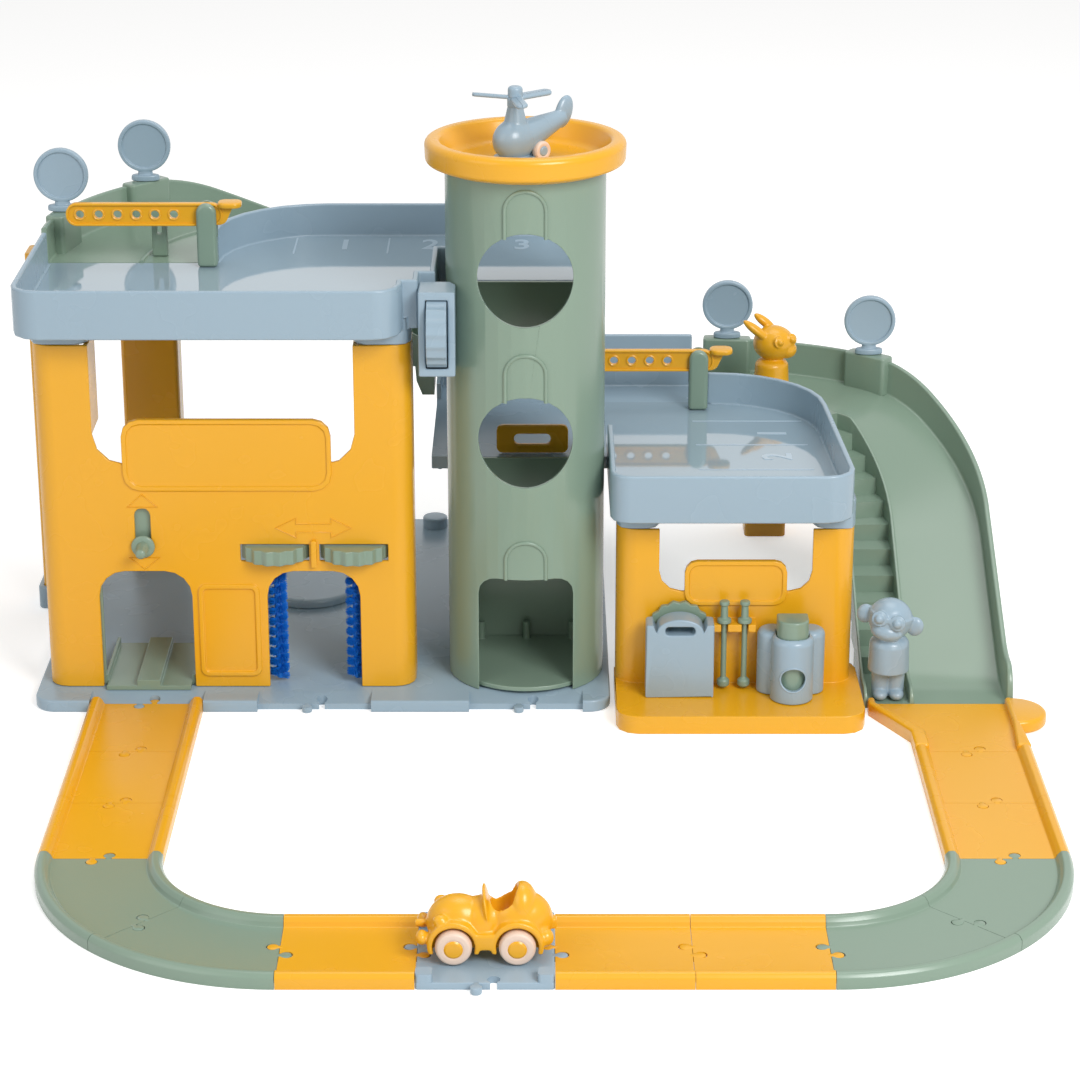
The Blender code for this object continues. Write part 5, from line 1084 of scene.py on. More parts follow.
@dataclass(frozen=True)
class Lane:
    """Ramp swept finely along a straight and a left turn, with a wall, stairs and a landing.

    Args:
        foot: Height of the floor at the foot.
        top: Height of the landing.
        turn: Centre of the turn.
        heading: Direction from that centre to the foot's side, in degrees.
        stairs_from: Distance from the foot at which the stairs start.
        sign_angles: Angles round the turn of the two sign blocks.
    """

    foot: float
    top: float
    turn: Pair
    heading: float
    stairs_from: float
    sign_angles: Pair
    radius: float = 150 * MM
    half: float = 33 * MM
    straight: float = 143 * MM
    slope: float = 0.55
    rise: float = 11 * MM
    level_foot: float = 30 * MM
    thick: float = 3 * MM
    outer_wall: float = 23.5 * MM
    inner_wall: float = 9 * MM
    riser_run: float = 0.8 * MM
    stair_width: float = 29 * MM
    landing_inner: float = 72.8 * MM
    landing_from: float = 42.0
    crest_half: float = 26 * MM
    foot_half: float = 12 * MM
    outer_thick: float = 4 * MM
    inner_thick: float = 3 * MM
    edge_thick: float = 2 * MM
    draft: float = 0.4 * MM

    @property
    def place(self) -> Matrix:
        """Place of the turn's centre."""
        return placed(self.turn, self.heading)

    def floor(self, distance: float) -> float:
        """Height of the floor, with a soft foot and crest.

        Args:
            distance: Distance from the foot along the lane.

        Returns:
            The height.
        """
        crest = self.level_foot + (self.top - self.foot) / self.slope
        if distance > (self.level_foot + crest) / 2:
            return self.top - self._bend(crest - distance, self.crest_half)
        return self.foot + self._bend(distance - self.level_foot, self.foot_half)

    def _bend(self, reach: float, half: float) -> float:
        """Rise of a line that bends softly from level to the slope.

        Args:
            reach: Distance past the point at which a sharp bend would be.
            half: Half of the length of the soft bend.

        Returns:
            The rise.
        """
        if abs(reach) < half:
            return self.slope * (reach + half) ** 2 / (4 * half)
        return self.slope * max(0.0, reach)

    def _end(self, distance: float, reach: float) -> float:
        """Part of the full height that a wall has near the foot, where it falls away in a round."""
        return math.sqrt(1.0 - (1.0 - min(1.0, distance / reach)) ** 2)

    def risers(self) -> dict[float, float]:
        """Stairs as steps in height.

        Returns:
            Height of the stairs at the foot and head of each riser, by distance.
        """
        count = round((self.top - self.foot) / self.rise)
        rise = (self.top - self.foot) / count
        levels = {}
        for index in range(1, count + 1):
            at = self.level_foot + rise / self.slope * index
            if at - self.riser_run > self.stairs_from:
                levels[at - self.riser_run] = self.foot + rise * (index - 1)
                levels[at] = self.foot + rise * index
        return levels

    def stations(self) -> list[float]:
        """Places at which the section is set.

        Returns:
            Distances from the foot, in order.
        """
        end = self.straight + self.radius * math.pi / 2
        crest = self.level_foot + (self.top - self.foot) / self.slope
        fixed = {0.0, self.level_foot, self.straight, crest, end} | set(self.risers())
        if self.stairs_from:
            fixed |= {self.stairs_from - self.riser_run, self.stairs_from}
        between = {step * end / 110 for step in range(1, 110)} | {step * 1.3 * MM for step in range(1, 13)}
        return sorted(fixed | {at for at in between if min(abs(at - other) for other in fixed) > 0.8 * MM})

    def section(self, distance: float) -> list[Triple]:
        """Corners across the lane.

        Args:
            distance: Distance from the foot along the lane.

        Returns:
            Distance outwards, height and radius of each corner.
        """
        levels = self.risers()
        floor = self.floor(distance)
        wall = min(floor + self.inner_wall, max(self.top, floor))
        passed = [at for at in levels if at <= distance + NEAR]
        level = levels[max(passed)] if passed else self.foot
        edge = -self.half - self.stair_width
        if distance > self.straight:
            part = min(1.0, (distance - self.straight) / (self.radius * math.radians(self.landing_from)))
            edge += (self.landing_inner - self.radius - edge) * part
        under = max(self.foot, level - self.rise) - self.thick
        if distance < self.stairs_from:
            edge = -self.half - 2.8 * MM
            level = floor
            under = floor - self.thick
        if level >= self.top - NEAR:
            under = self.top - self.thick
        outer, inner = self.half - self.outer_thick, self.inner_thick - self.half
        edge_wall = edge + self.edge_thick
        draft = self.draft
        rim = floor + max(3 * MM, self.outer_wall * self._end(distance, 16 * MM))
        wall = max(floor + 1.5 * MM, floor + (wall - floor) * self._end(distance, 8 * MM))
        return [
            (self.half, floor - self.thick, 0.0),
            (self.half, rim, 1.4 * MM),
            (outer + draft, rim, 1.4 * MM),
            (outer, floor, 1.6 * MM),
            (inner, floor, 1.2 * MM),
            (inner - draft, wall, 0.8 * MM),
            (-self.half + draft, wall, 0.8 * MM),
            (-self.half, level, 0.0),
            (edge_wall + draft, level, 0.0),
            (edge_wall, wall, 0.7 * MM),
            (edge, wall, 0.7 * MM),
            (edge, under, 0.0),
            (-self.half, under, 0.0),
            (-self.half + draft, floor - self.thick, 0.0),
        ]

    def ring(self, distance: float) -> list[Triple]:
        """Section in place.

        Args:
            distance: Distance from the foot along the lane.

        Returns:
            Points of the section, about the centre of the turn.
        """
        if distance <= self.straight:
            start, outward = Vector((0.0, distance - self.straight)), Vector((1.0, 0.0))
        else:
            angle = (distance - self.straight) / self.radius
            start, outward = Vector((0.0, 0.0)), Vector((math.cos(angle), math.sin(angle)))
        points = []
        for across, height in round_corners(self.section(distance), 4):
            spot = start + outward * (self.radius + across)
            points.append((spot.x, spot.y, height))
        return points

    def shape(self) -> Shape:
        """Sweep the section and add the sign blocks.

        Returns:
            The lane's shape, in place.
        """
        lane = swept([self.ring(at) for at in self.stations()], 0.002 * MM)
        blocks = []
        reach = self.radius + self.half
        for angle in self.sign_angles:
            outline = rounded_box_outline((reach - 11 * MM, reach + 2 * MM), (-17 * MM, 17 * MM), 3 * MM, 5)
            block = slab(outline, (self.top - 2.4 * MM, self.top + 25 * MM), Plane.XY, 1.4 * MM)
            block.transform(Matrix.Rotation(math.radians(angle), 4, "Z"))
            blocks.append(block)
        whole = joined(lane, *blocks)
        whole.transform(self.place)
        return whole


LANES = {
    "upper_ramp": Lane(140.3 * MM, 256 * MM, (-133 * MM, 90 * MM), 90.0, 74.2 * MM, (77.5, 46.5)),
    "lower_ramp": Lane(4 * MM, 127 * MM, (128 * MM, 90 * MM), 0.0, 0.0, (85.0, 50.5)),
}


@dataclass
class Decks:
    """Both trays, their bays, the booms on their posts, the ramps, legs and round signs."""

    shop: Workshop
    upper_floor: float = 256 * MM
    middle_floor: float = 137 * MM

    def build(self) -> None:
        """Make every piece of the decks."""
        self.shop.moulding("upper_deck", 1.3 * MM, Tone.BLUE, polished=self.upper_floor)
        self.shop.moulding("middle_deck", 1.3 * MM, Tone.BLUE, polished=self.middle_floor)
        for node, lane in LANES.items():
            self.shop.finish(f"{node}_sweep", lane.shape(), Tone.GREEN, node)
        self.shop.moulding("upper_ramp_legs", 1.2 * MM, Tone.YELLOW)
        self.shop.moulding("lower_ramp_legs", 1.2 * MM, Tone.YELLOW)
        for level in ("upper", "middle"):
            self._post(level)
            self._boom(level)
        for name in ("upper_start", "upper_turn", "lower_start", "lower_turn"):
            self._sign(f"sign_{name}")
        self._fork()
        self._bays()

    def _post(self, level: str) -> None:
        """Round-topped post with a slot for its boom.

        Args:
            level: Deck that it stands on, as its node's name says it.
        """
        node = f"boom_post_{level}"
        low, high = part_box(node)
        x, y = box_middle(low, high)
        half = (high.x - low.x) / 2
        across = (y - 2.9 * MM, y + 2.9 * MM)
        outline = [(x - half, low.z), (x + half, low.z)] + arc((x, high.z - half), half, 0, 180, 20)
        post = slab(outline, (low.y, high.y), Plane.XZ, 2.4 * MM, segments=5)
        slot = slab(
            rounded_box_outline(across, (low.z + 19 * MM, high.z + 9 * MM), 0.8 * MM, 3),
            (low.x - 1 * MM, high.x + 1 * MM),
            Plane.YZ,
        )
        self.shop.finish(f"{node}_shape", carve(post, slot), Tone.GREEN, node, sharp=50.0)

    def _fork(self) -> None:
        """Small forked rest on the upper landing."""
        x, low, high = -241 * MM, self.upper_floor + 0.2 * MM, 279 * MM
        half, gap, tip = 5 * MM, 1.6 * MM, 1.4 * MM
        corners = [(x - half, low, 0.0), (x + half, low, 0.0), (x + half, high, tip), (x + gap, high, tip)]
        corners += [(x + gap, high - 8 * MM, 1.5 * MM), (x - gap, high - 8 * MM, 1.5 * MM)]
        corners += [(x - gap, high, tip), (x - half, high, tip)]
        fork = slab(round_corners(corners, 5), (105 * MM, 111 * MM), Plane.XZ, 0.9 * MM)
        self.shop.finish("landing_fork", fork, Tone.GREEN)

    def _bays(self) -> None:
        """Raised lines and numerals of the parking bays."""
        marks = []
        height, size = 0.25 * MM, 27 * MM
        tall = Matrix.Diagonal((0.9, 1.25, 1.0, 1.0))
        for text, x in (("1", -121), ("2", -64), ("3", -3)):
            place = Matrix.Translation((x * MM, 134 * MM, self.upper_floor)) @ tall
            marks.append(raised_number(text, size, place, height))
        for x in (-154, -92, -34):
            outline = rounded_box_outline(((x - 0.6) * MM, (x + 0.6) * MM), (112 * MM, 152 * MM), 0.4 * MM, 2)
            marks.append(slab(outline, (self.upper_floor - 0.5 * MM, self.upper_floor + height)))
        turn = Matrix.Rotation(math.radians(90), 4, "Z")
        for text, y in (("1", 94), ("2", 46)):
            place = Matrix.Translation((165 * MM, y * MM, self.middle_floor)) @ turn
            marks.append(raised_number(text, size, place, height))
        for y in (120, 70, 20):
            outline = rounded_box_outline((112 * MM, 186 * MM), ((y - 0.6) * MM, (y + 0.6) * MM), 0.4 * MM, 2)
            marks.append(slab(outline, (self.middle_floor - 0.5 * MM, self.middle_floor + height)))
        self.shop.finish("bay_marks", joined(*marks), Tone.PALE)

    def _sign(self, node: str) -> None:
        """Round blank sign with a raised rim on an oval foot.

        Args:
            node: Node that it replaces.
        """
        low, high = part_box(node)
        x, y = box_middle(low, high)
        radius = 18 * MM
        centre = high.z - radius
        face = 2.5 * MM
        half = [(0.0, face - 1.5 * MM, 0.0), (radius - 3 * MM, face - 1.5 * MM, 0.5 * MM)]
        half += [(radius - 2.6 * MM, face, 0.9 * MM), (radius, face, 1.0 * MM), (radius, 0.0, 0.0)]
        front = round_profile(half, 4)
        profile = front + [(r, -h) for r, h in reversed(front[:-1])]
        disc = spun(profile, (x, y, centre), Axis.Y, 64)
        top = centre - radius
        foot_profile = [
            (0.0, top + 2.5 * MM, 0.0),
            (4.6 * MM, top + 2.5 * MM, 0.6 * MM),
            (5.2 * MM, low.z + 4.2 * MM, 0.8 * MM),
            (9.6 * MM, low.z + 3.8 * MM, 1.3 * MM),
            (9.8 * MM, low.z, 0.8 * MM),
            (0.0, low.z, 0.0),
        ]
        foot = spun(round_profile(foot_profile, 4), (x, y, 0.0), Axis.Z, 40, (1.0, 0.5))
        self.shop.finish(f"{node}_disc", joined(disc, foot), Tone.BLUE, node)

    def _boom(self, level: str) -> None:
        """Flanged boom with ringed holes and a finger paddle.

        Args:
            level: Deck that it stands on, as its node's name says it.
        """
        low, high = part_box(f"boom_{level}")
        post_low, post_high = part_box(f"boom_post_{level}")
        x, y = box_middle(post_low, post_high)
        pivot_z = post_low.z + 34 * MM
        half, flange = 7.5 * MM, 1.6 * MM
        web_along = (low.x + 1.5 * MM, x + 9.0 * MM)
        web_across = (pivot_z - half + flange, pivot_z + half - flange)
        along, across = (low.x, x + 10.3 * MM), (pivot_z - half, pivot_z + half)
        bar = rounded_box_outline(along, across, half - 0.5 * MM, 10)
        inner = rounded_box_outline(web_along, web_across, half - 2.2 * MM, 10)
        spacing = 73 * MM / 6
        centres = [low.x + 9 * MM + spacing * index for index in range(6)]
        holes = [arc((centre, pivot_z), 2.7 * MM, 0, 337.5, 15) for centre in centres]
        rim = slab(bar, (y - 2.5 * MM, y + 2.5 * MM), Plane.XZ, 0.5 * MM, [inner])
        web = slab(inner, (y - 1.1 * MM, y + 1.1 * MM), Plane.XZ, 0.0, holes)
        parts = [rim, web]
        for centre in centres:
            profile = [(2.7, -1.6), (3.3, -1.9), (4.0, -1.6), (4.0, 1.6), (3.3, 1.9), (2.7, 1.6), (2.7, -1.6)]
            parts.append(spun([(r * MM, h * MM) for r, h in profile], (centre, y, pivot_z), Axis.Y, 24))
        paddle = rounded_box_outline((x + 7.5 * MM, high.x), (y - 7 * MM, y + 7 * MM), 5.5 * MM, 8)
        top = high.z
        parts.append(slab(paddle, (top - 3.6 * MM, top), Plane.XY, 1.2 * MM))
        neck = [(x + 4 * MM, pivot_z - half, 1 * MM), (x + 12 * MM, pivot_z - half + 1 * MM, 6 * MM)]
        neck += [(x + 18 * MM, top - 2 * MM, 1 * MM), (x + 4 * MM, top - 2 * MM, 1 * MM)]
        parts.append(slab(round_corners(neck), (y - 1.6 * MM, y + 1.6 * MM), Plane.XZ, 0.5 * MM))
        parts.append(rod(1.8 * MM, (-5.0 * MM, 5.0 * MM), (x, y, pivot_z), Axis.Y, 20))
        self.shop.finish(f"boom_{level}_arm", joined(*parts), Tone.YELLOW, f"boom_{level}", f"{level}_boom")


@dataclass
class Station:
    """Fuel station front with its can, counter wheel, nozzles and pump."""

    shop: Workshop
    pump_x: float = 168.5 * MM
    pump_front: float = 13.6 * MM
    pump_side: float = 9.5 * MM
    window_z: float = 29 * MM

    def build(self) -> None:
        """Make every piece of the fuel station."""
        self.shop.moulding("station_front", 0.6 * MM, Tone.YELLOW)
        self._can()
        self.shop.moulding("counter_wheel", 0.6 * MM, Tone.GREEN, "counter")
        for side in ("left", "right"):
            self._nozzle(side)
        self._pump()
        self._button()

    def _nozzle(self, side: str) -> None:
        """Slim nozzle with a ringed head, a collar and a round foot.

        Args:
            side: Which of the two it is, as its node's name says it.
        """
        low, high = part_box(f"nozzle_{side}")
        x, y = box_middle(low, high)
        collar = 57.3 * MM
        profile = [
            (0.0, high.z, 0.0),
            (3.2 * MM, high.z, 0.8 * MM),
            (3.2 * MM, high.z - 2.4 * MM, 0.6 * MM),
            (2.2 * MM, high.z - 3.4 * MM, 0.4 * MM),
            (2.4 * MM, collar + 5.6 * MM, 0.6 * MM),
            (2.4 * MM, collar + 3.6 * MM, 0.6 * MM),
            (4.5 * MM, collar + 2.4 * MM, 0.6 * MM),
            (4.5 * MM, collar, 0.6 * MM),
            (1.8 * MM, collar, 0.2 * MM),
            (1.8 * MM, low.z + 7 * MM, 1.0 * MM),
            (4.0 * MM, low.z + 5 * MM, 1.5 * MM),
            (4.0 * MM, low.z + 1.6 * MM, 1.5 * MM),
            (2.0 * MM, low.z, 0.5 * MM),
            (0.0, low.z, 0.0),
        ]
        shape = spun(round_profile(profile, 4), (x, y, 0.0), Axis.Z, 28)
        self.shop.finish(f"nozzle_{side}_stick", shape, Tone.GREEN, f"nozzle_{side}", f"nozzle_{side}")

    def _pump(self) -> None:
        """Pump of three round lobes with a round window."""
        low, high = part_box("pump_body")
        x, front_y = self.pump_x, low.y + self.pump_front
        clay = Clay(0.45 * MM)
        side, back = self.pump_side, high.y - self.pump_side
        lobes = ((x, front_y, self.pump_front), (x - 12 * MM, back, side), (x + 12 * MM, back, side))
        for lobe_x, lobe_y, radius in lobes:
            profile = [(0.0, high.z, 0.0), (radius, high.z, 4.4 * MM)]
            profile += [(radius, low.z, 0.0), (0.0, low.z, 0.0)]
            clay.shape(spun(round_profile(profile, 8), (lobe_x, lobe_y, 0.0)))
        pocket = slab(self._bowed(x, front_y, 10.3 * MM, 10 * MM), (low.z + 2 * MM, high.z + 5 * MM))
        window = rod(7.9 * MM, (-9 * MM, 9 * MM), (x, low.y, self.window_z), Axis.Y, 48)
        body = clay.melted(2, (pocket, window))
        self.shop.finish("pump_shell", body, Tone.BLUE, "pump_body", sharp=MELTED_SHARP)
        ring = tube(self._window_edge(x, front_y), 0.7 * MM, closed=True)
        self.shop.finish("pump_window_ring", ring, Tone.BLUE)

    def _window_edge(self, x: float, front_y: float) -> list[Triple]:
        """Points round the window, on the round front of the pump.

        Args:
            x: Middle of the pump across the garage.
            front_y: Axis of the pump's front lobe.

        Returns:
            The points, in order.
        """
        points = []
        for across, up in arc((0.0, self.window_z), 8.2 * MM, 0, 352.5, 47):
            bulge = math.sqrt(self.pump_front**2 - across**2)
            points.append((x + across, front_y - bulge + 0.35 * MM, up))
        return points

    def _bowed(self, x: float, y: float, half: float, back: float) -> Outline:
        """Outline with a flat back and a bowed front.

        Args:
            x: Its middle across the garage.
            y: Place at which its bow starts.
            half: Half of its width.
            back: Distance from there to its flat back.

        Returns:
            Points of the outline.
        """
        outline = [(x + half, y + back), (x - half, y + back)]
        for across, along in arc((0.0, 0.0), half, 180, 360, 24):
            outline.append((x + across, y + along * 0.94))
        return outline

    def _button(self) -> None:
        """Button with a round front and a flat back, seen in the pump's window."""
        low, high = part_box("pump_button")
        front_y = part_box("pump_body")[0].y + self.pump_front
        outline = self._bowed(self.pump_x, front_y, 9.9 * MM, 9.6 * MM)
        button = slab(outline, (low.z, high.z), Plane.XY, 1.3 * MM, segments=4)
        self.shop.finish("pump_push_button", button, Tone.GREEN, "pump_button", "button", 40.0, True)

    def _can(self) -> None:
        """Fuel can with a lip at each corner and an arched handle."""
        low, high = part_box("fuel_can")
        x, half = (low.x + high.x) / 2, (high.x - low.x) / 2
        top = high.z
        side = [
            (half, low.z, 1.2 * MM),
            (half, top - 3.7 * MM, 1.6 * MM),
            (half - 4.4 * MM, top - 3.7 * MM, 1.2 * MM),
            (half - 6.2 * MM, top - 8.6 * MM, 1.6 * MM),
        ]
        corners = [(x + across, up, radius) for across, up, radius in side]
        for across, up in arc((0.0, 0.0), 1.0, 0, 180, 24):
            corners.append((x + across * 14.6 * MM, top - 8.6 * MM + up * 8.6 * MM, 0.0))
        corners += [(x - across, up, radius) for across, up, radius in reversed(side)]
        slot = rounded_box_outline((x - 9.4 * MM, x + 9.4 * MM), (top - 10.6 * MM, top - 5.0 * MM), 2.5 * MM)
        can = slab(round_corners(corners, 6), (low.y, high.y), Plane.XZ, 1.1 * MM, [slot])
        self.shop.finish("fuel_can_shell", can, Tone.BLUE, "fuel_can", sharp=50.0, even=True)


@dataclass
class Track:
    """Loop of hooked tiles and the base plate that it starts from."""

    shop: Workshop
    gap: float = 0.3 * MM
    pitch: float = 74 * MM
    width: float = 72 * MM
    floor: float = 4 * MM
    rail: float = 9 * MM
    rail_width: float = 9 * MM
    hook_shift: float = 4.6 * MM
    road_x: float = -242 * MM
    joint_y: float = -53 * MM
    wash_x: float = -135 * MM
    foot_x: Pair = (218 * MM, 310 * MM)
    base_x: Pair = (-314 * MM, 54 * MM)
    base_y: Pair = (-58 * MM, 282 * MM)
    base_thick: float = 8 * MM
    turntable: Pair = (-150 * MM, 132 * MM)
    boss: Pair = (-68 * MM, 266 * MM)
    socket_wall: float = 3.2 * MM
    socket_margin: float = 3.5 * MM
    socket_half: float = 15.5 * MM

    @property
    def bend(self) -> float:
        """Radius of a curve's middle line."""
        return 1.5 * self.pitch

    def build(self) -> None:
        """Make every tile and the base plate."""
        for index in range(3):
            middle = (self.road_x, self.joint_y - self.pitch * (index + 0.5))
            self._straight(f"left_straight_{index + 1}", middle, 0)
        turn_y = self.joint_y - 3 * self.pitch
        left, right = self.road_x + self.bend, self.road_x + self.bend + 4 * self.pitch
        for name, x, start in (
            ("left_curve_1", left, 180),
            ("left_curve_2", left, 225),
            ("right_curve_1", right, 270),
            ("right_curve_2", right, 315),
        ):
            self._curve(name, (x, turn_y), start)
        row_y = turn_y - self.bend
        for number, index in ((1, 0), (2, 2), (3, 3)):
            self._straight(f"front_straight_{number}", (left + self.pitch * (index + 0.5), row_y), 90)
        self._crossing((left + self.pitch * 1.5, row_y))
        road_x = right + self.bend
        for index in range(2):
            middle = (road_x, turn_y + self.pitch * (index + 0.5))
            self._straight(f"right_straight_{index + 1}", middle, 0)
        self._foot(road_x, turn_y + 2 * self.pitch)
        self._base()

    def _hook(self, grow: float) -> Outline:
        """Outline of a hook that reaches along +Y from the joint line.

        Args:
            grow: Play round the hook, which is 0 for the hook itself.

        Returns:
            Points of the outline.
        """
        radius, neck = 3.2 * MM + grow, 1.5 * MM + grow
        opening = math.degrees(math.asin(neck / radius))
        reach = (4.4 if grow else 3.9) * MM
        head = arc((0.0, reach), radius, -90 + opening, 270 - opening, 18)
        return [(-neck, -1.5 * MM), (neck, -1.5 * MM), *head]

    def _hooked(self, bm: Shape, ends: Sequence[tuple[Pair, float]], cuts: Sequence[Shape] = ()) -> Shape:
        """Give each end of a piece its tongue and its notch.

        Args:
            bm: Shape of the piece.
            ends: Place and heading in degrees from +Y of each end.
            cuts: Further shapes that are cut out.

        Returns:
            The piece with its hooks.
        """
        notches, tongues = [], []
        for end, heading in ends:
            place = placed(end, heading)
            tall = (0.4 * MM, self.floor + 0.02 * MM)
            tongue = slab(self._hook(0.0), tall, Plane.XY, 0.25 * MM, segments=2)
            tongue.transform(place @ Matrix.Translation((self.hook_shift, -self.gap / 2, 0.0)))
            tongues.append(tongue)
            notch = slab(self._hook(self.gap), (-1 * MM, 10 * MM))
            facing = Matrix.Translation((-self.hook_shift, self.gap / 2, 0.0))
            notch.transform(place @ facing @ Matrix.Rotation(math.pi, 4, "Z"))
            notches.append(notch)
        return joined(carve(bm, *notches, *cuts), *tongues)

    def _section(self) -> Outline:
        """Section across a tile: two round rails, a floor and a hollow underside.

        Returns:
            Distances across the road and heights.
        """
        half = self.width / 2
        inner, shoulder, skirt = half - self.rail_width, self.rail - 2.5 * MM, half - 2.5 * MM
        side = [
            (inner, self.floor, 1.0 * MM),
            (inner + 1.2 * MM, shoulder, 1.6 * MM),
            (inner + 3.4 * MM, self.rail, 2.0 * MM),
            (half - 2.2 * MM, self.rail, 2.4 * MM),
            (half, shoulder, 1.8 * MM),
            (half, 0.0, 0.3 * MM),
            (skirt, 0.0, 0.3 * MM),
            (skirt, self.floor - 1.8 * MM, 0.3 * MM),
        ]
        mirrored = [(-across, height, radius) for across, height, radius in reversed(side)]
        return round_corners(side + mirrored, 4)

    def _swept(self, places: Sequence[Matrix]) -> Shape:
        """Sweep the section along places whose X runs across the road."""
        section = [Vector((across, 0.0, up)) for across, up in self._section()]
        return swept([[place @ corner for corner in section] for place in places])

    def _end(self, middle: Pair, heading: float, reach: float) -> tuple[Pair, float]:
        """Place and heading of the end of a tile."""
        angle = math.radians(heading)
        return (middle[0] - math.sin(angle) * reach, middle[1] + math.cos(angle) * reach), heading

    def _straight(self, name: str, middle: Pair, heading: float) -> None:
        """Straight tile.

        Args:
            name: Node that it replaces.
            middle: Its middle.
            heading: Heading of its length, in degrees from +Y.
        """
        turn = placed(middle, heading)
        half = (self.pitch - self.gap) / 2
        bm = self._swept([turn @ Matrix.Translation((0, along, 0)) for along in (-half, half)])
        ends = [self._end(middle, heading + way, self.pitch / 2) for way in (0, 180)]
        self.shop.finish(f"{name}_tile", self._hooked(bm, ends), Tone.YELLOW, name, sharp=TILE_SHARP)

    def _curve(self, name: str, centre: Pair, start: float) -> None:
        """Tile of 45 degrees round a centre.

        Args:
            name: Node that it replaces.
            centre: Centre of the curve.
            start: Direction from there to its first end, in degrees.
        """
        margin = math.degrees(self.gap / 2 / self.bend)
        places = []
        for step in range(25):
            turn = placed(centre, start + margin + (45 - 2 * margin) * step / 24)
            places.append(turn @ Matrix.Translation((self.bend, 0.0, 0.0)))
        ends = []
        for angle, heading in ((start, start + 180), (start + 45, start + 45)):
            ends.append((arc(centre, self.bend, angle, angle, 1)[0], heading))
        bm = self._hooked(self._swept(places), ends)
        self.shop.finish(f"{name}_tile", bm, Tone.GREEN, name, sharp=TILE_SHARP)

    def _crossing(self, centre: Pair) -> None:
        """Square tile that takes a road on each side.

        Args:
            centre: Its middle.
        """
        half, side, bump = (self.pitch - self.gap) / 2, self.width / 2, self.rail_width
        x = (centre[0] - half, centre[0] + half)
        y = (centre[1] - side, centre[1] + side)
        plate = slab(rounded_box_outline(x, y, 1.5 * MM), (0.0, self.floor), Plane.XY, 0.5 * MM)
        corners = []
        for low_x in (x[0], x[1] - bump):
            for low_y in (y[0], y[1] - bump):
                outline = rounded_box_outline((low_x, low_x + bump), (low_y, low_y + bump), 2.2 * MM)
                corners.append(slab(outline, (2.0 * MM, self.rail), Plane.XY, 1.8 * MM, segments=4))
        reaches = ((0, side), (90, self.pitch / 2), (180, side), (270, self.pitch / 2))
        ends = [self._end(centre, heading, reach) for heading, reach in reaches]
        bm = joined(self._hooked(plate, ends), *corners)
        self.shop.finish("front_crossing_tile", bm, Tone.BLUE, "front_crossing", sharp=TILE_SHARP)

    def _foot(self, road_x: float, low_y: float) -> None:
        """Flared tile at the foot of the ramp, with rails and a round tab.

        Args:
            road_x: Middle of the road that joins it.
            low_y: Place of its joint with that road.
        """
        left, right = self.foot_x
        tab_radius = 20 * MM
        near, high, neck = low_y + self.gap / 2, self.joint_y - self.gap, low_y + self.pitch * 0.3
        half, rail, inset = self.width / 2, self.rail_width, 1.6 * MM
        outer_right = [(road_x + half, near), (right, neck + 12 * MM), (right, high)]
        outer_left = [(left, high), (left, high - 10 * MM), (road_x - half, neck), (road_x - half, near)]
        within = [(x - inset if x > road_x else x + inset, y) for x, y in outer_right + outer_left]
        plate = slab(within, (0.0, self.floor))
        inner_right = [(right - rail / 2, high), (right - rail / 2, neck + 14 * MM)]
        inner_right += [(road_x + half - rail, near)]
        inner_left = [(road_x - half + rail, near), (road_x - half + rail, neck)]
        inner_left += [(left + rail / 2, high - 8 * MM), (left + rail / 2, high)]
        below = rounded_box_outline((left - half, right + half), (near - half, high + half), 1 * MM)
        rails = []
        for outline in ([*outer_right, *inner_right], [*outer_left, *inner_left]):
            rail_bar = slab(outline, (-3 * MM, self.rail), Plane.XY, 1.8 * MM, segments=5)
            rails.append(carve(rail_bar, slab(below, (-9 * MM, 0.0))))
        round_tab = arc((right - 1 * MM, high - tab_radius), tab_radius, -90, 90, 32)
        round_tab += [(right - 4 * MM, high), (right - 4 * MM, high - 2 * tab_radius)]
        tab = slab(round_tab, (0.0, self.rail), Plane.XY, 2.6 * MM)
        bm = joined(self._hooked(plate, [((road_x, low_y), 180)]), *rails, tab)
        self.shop.finish("ramp_foot_shape", bm, Tone.YELLOW, "ramp_foot_tile", sharp=TILE_SHARP)

    def _base(self) -> None:
        """Base plate with its track sockets, leg sockets and rear boss."""
        thick, front = self.base_thick, self.base_y[0]
        outline = rounded_box_outline(self.base_x, self.base_y, 14 * MM, 12)
        plate = slab(outline, (0.0, thick), Plane.XY, 1.4 * MM, segments=4)
        half = self.width / 2 + self.gap
        edge = self.joint_y + self.gap / 2
        cuts, ends = [], []
        for x in (self.road_x, self.wash_x, 0.0):
            slope = [(front - 2 * MM, -1 * MM), (edge, -1 * MM), (edge, self.floor)]
            slope += [(edge + 13 * MM, thick + self.gap), (front - 2 * MM, thick + 2 * MM)]
            cuts.append(slab(slope, (x - half, x + half), Plane.YZ))
            ends.append(((x, self.joint_y), 180))
        cuts.append(rod(6.3 * MM, (-1 * MM, 9 * MM), (*self.turntable, 0.0), Axis.Z, 32))
        extras = []
        lane = LANES["upper_ramp"]
        turn, radius = Vector(lane.turn), lane.radius + lane.half
        wall, margin = self.socket_wall, self.socket_margin
        for reach, angle, length in ((radius + 9 * MM, 166, 30 * MM), (radius, 136, 40 * MM)):
            spot = turn + Vector((math.cos(math.radians(angle)), math.sin(math.radians(angle)))) * reach
            x = (spot.x - length / 2 - margin, spot.x + length / 2 + margin)
            y = (spot.y - self.socket_half, spot.y + self.socket_half)
            hole = rounded_box_outline((x[0] + wall, x[1] - wall), (y[0] + wall, y[1] - wall), 2 * MM, 4)
            socket = slab(rounded_box_outline(x, y, 5 * MM, 8), (0.0, thick * 2), Plane.XY, 1.0 * MM)
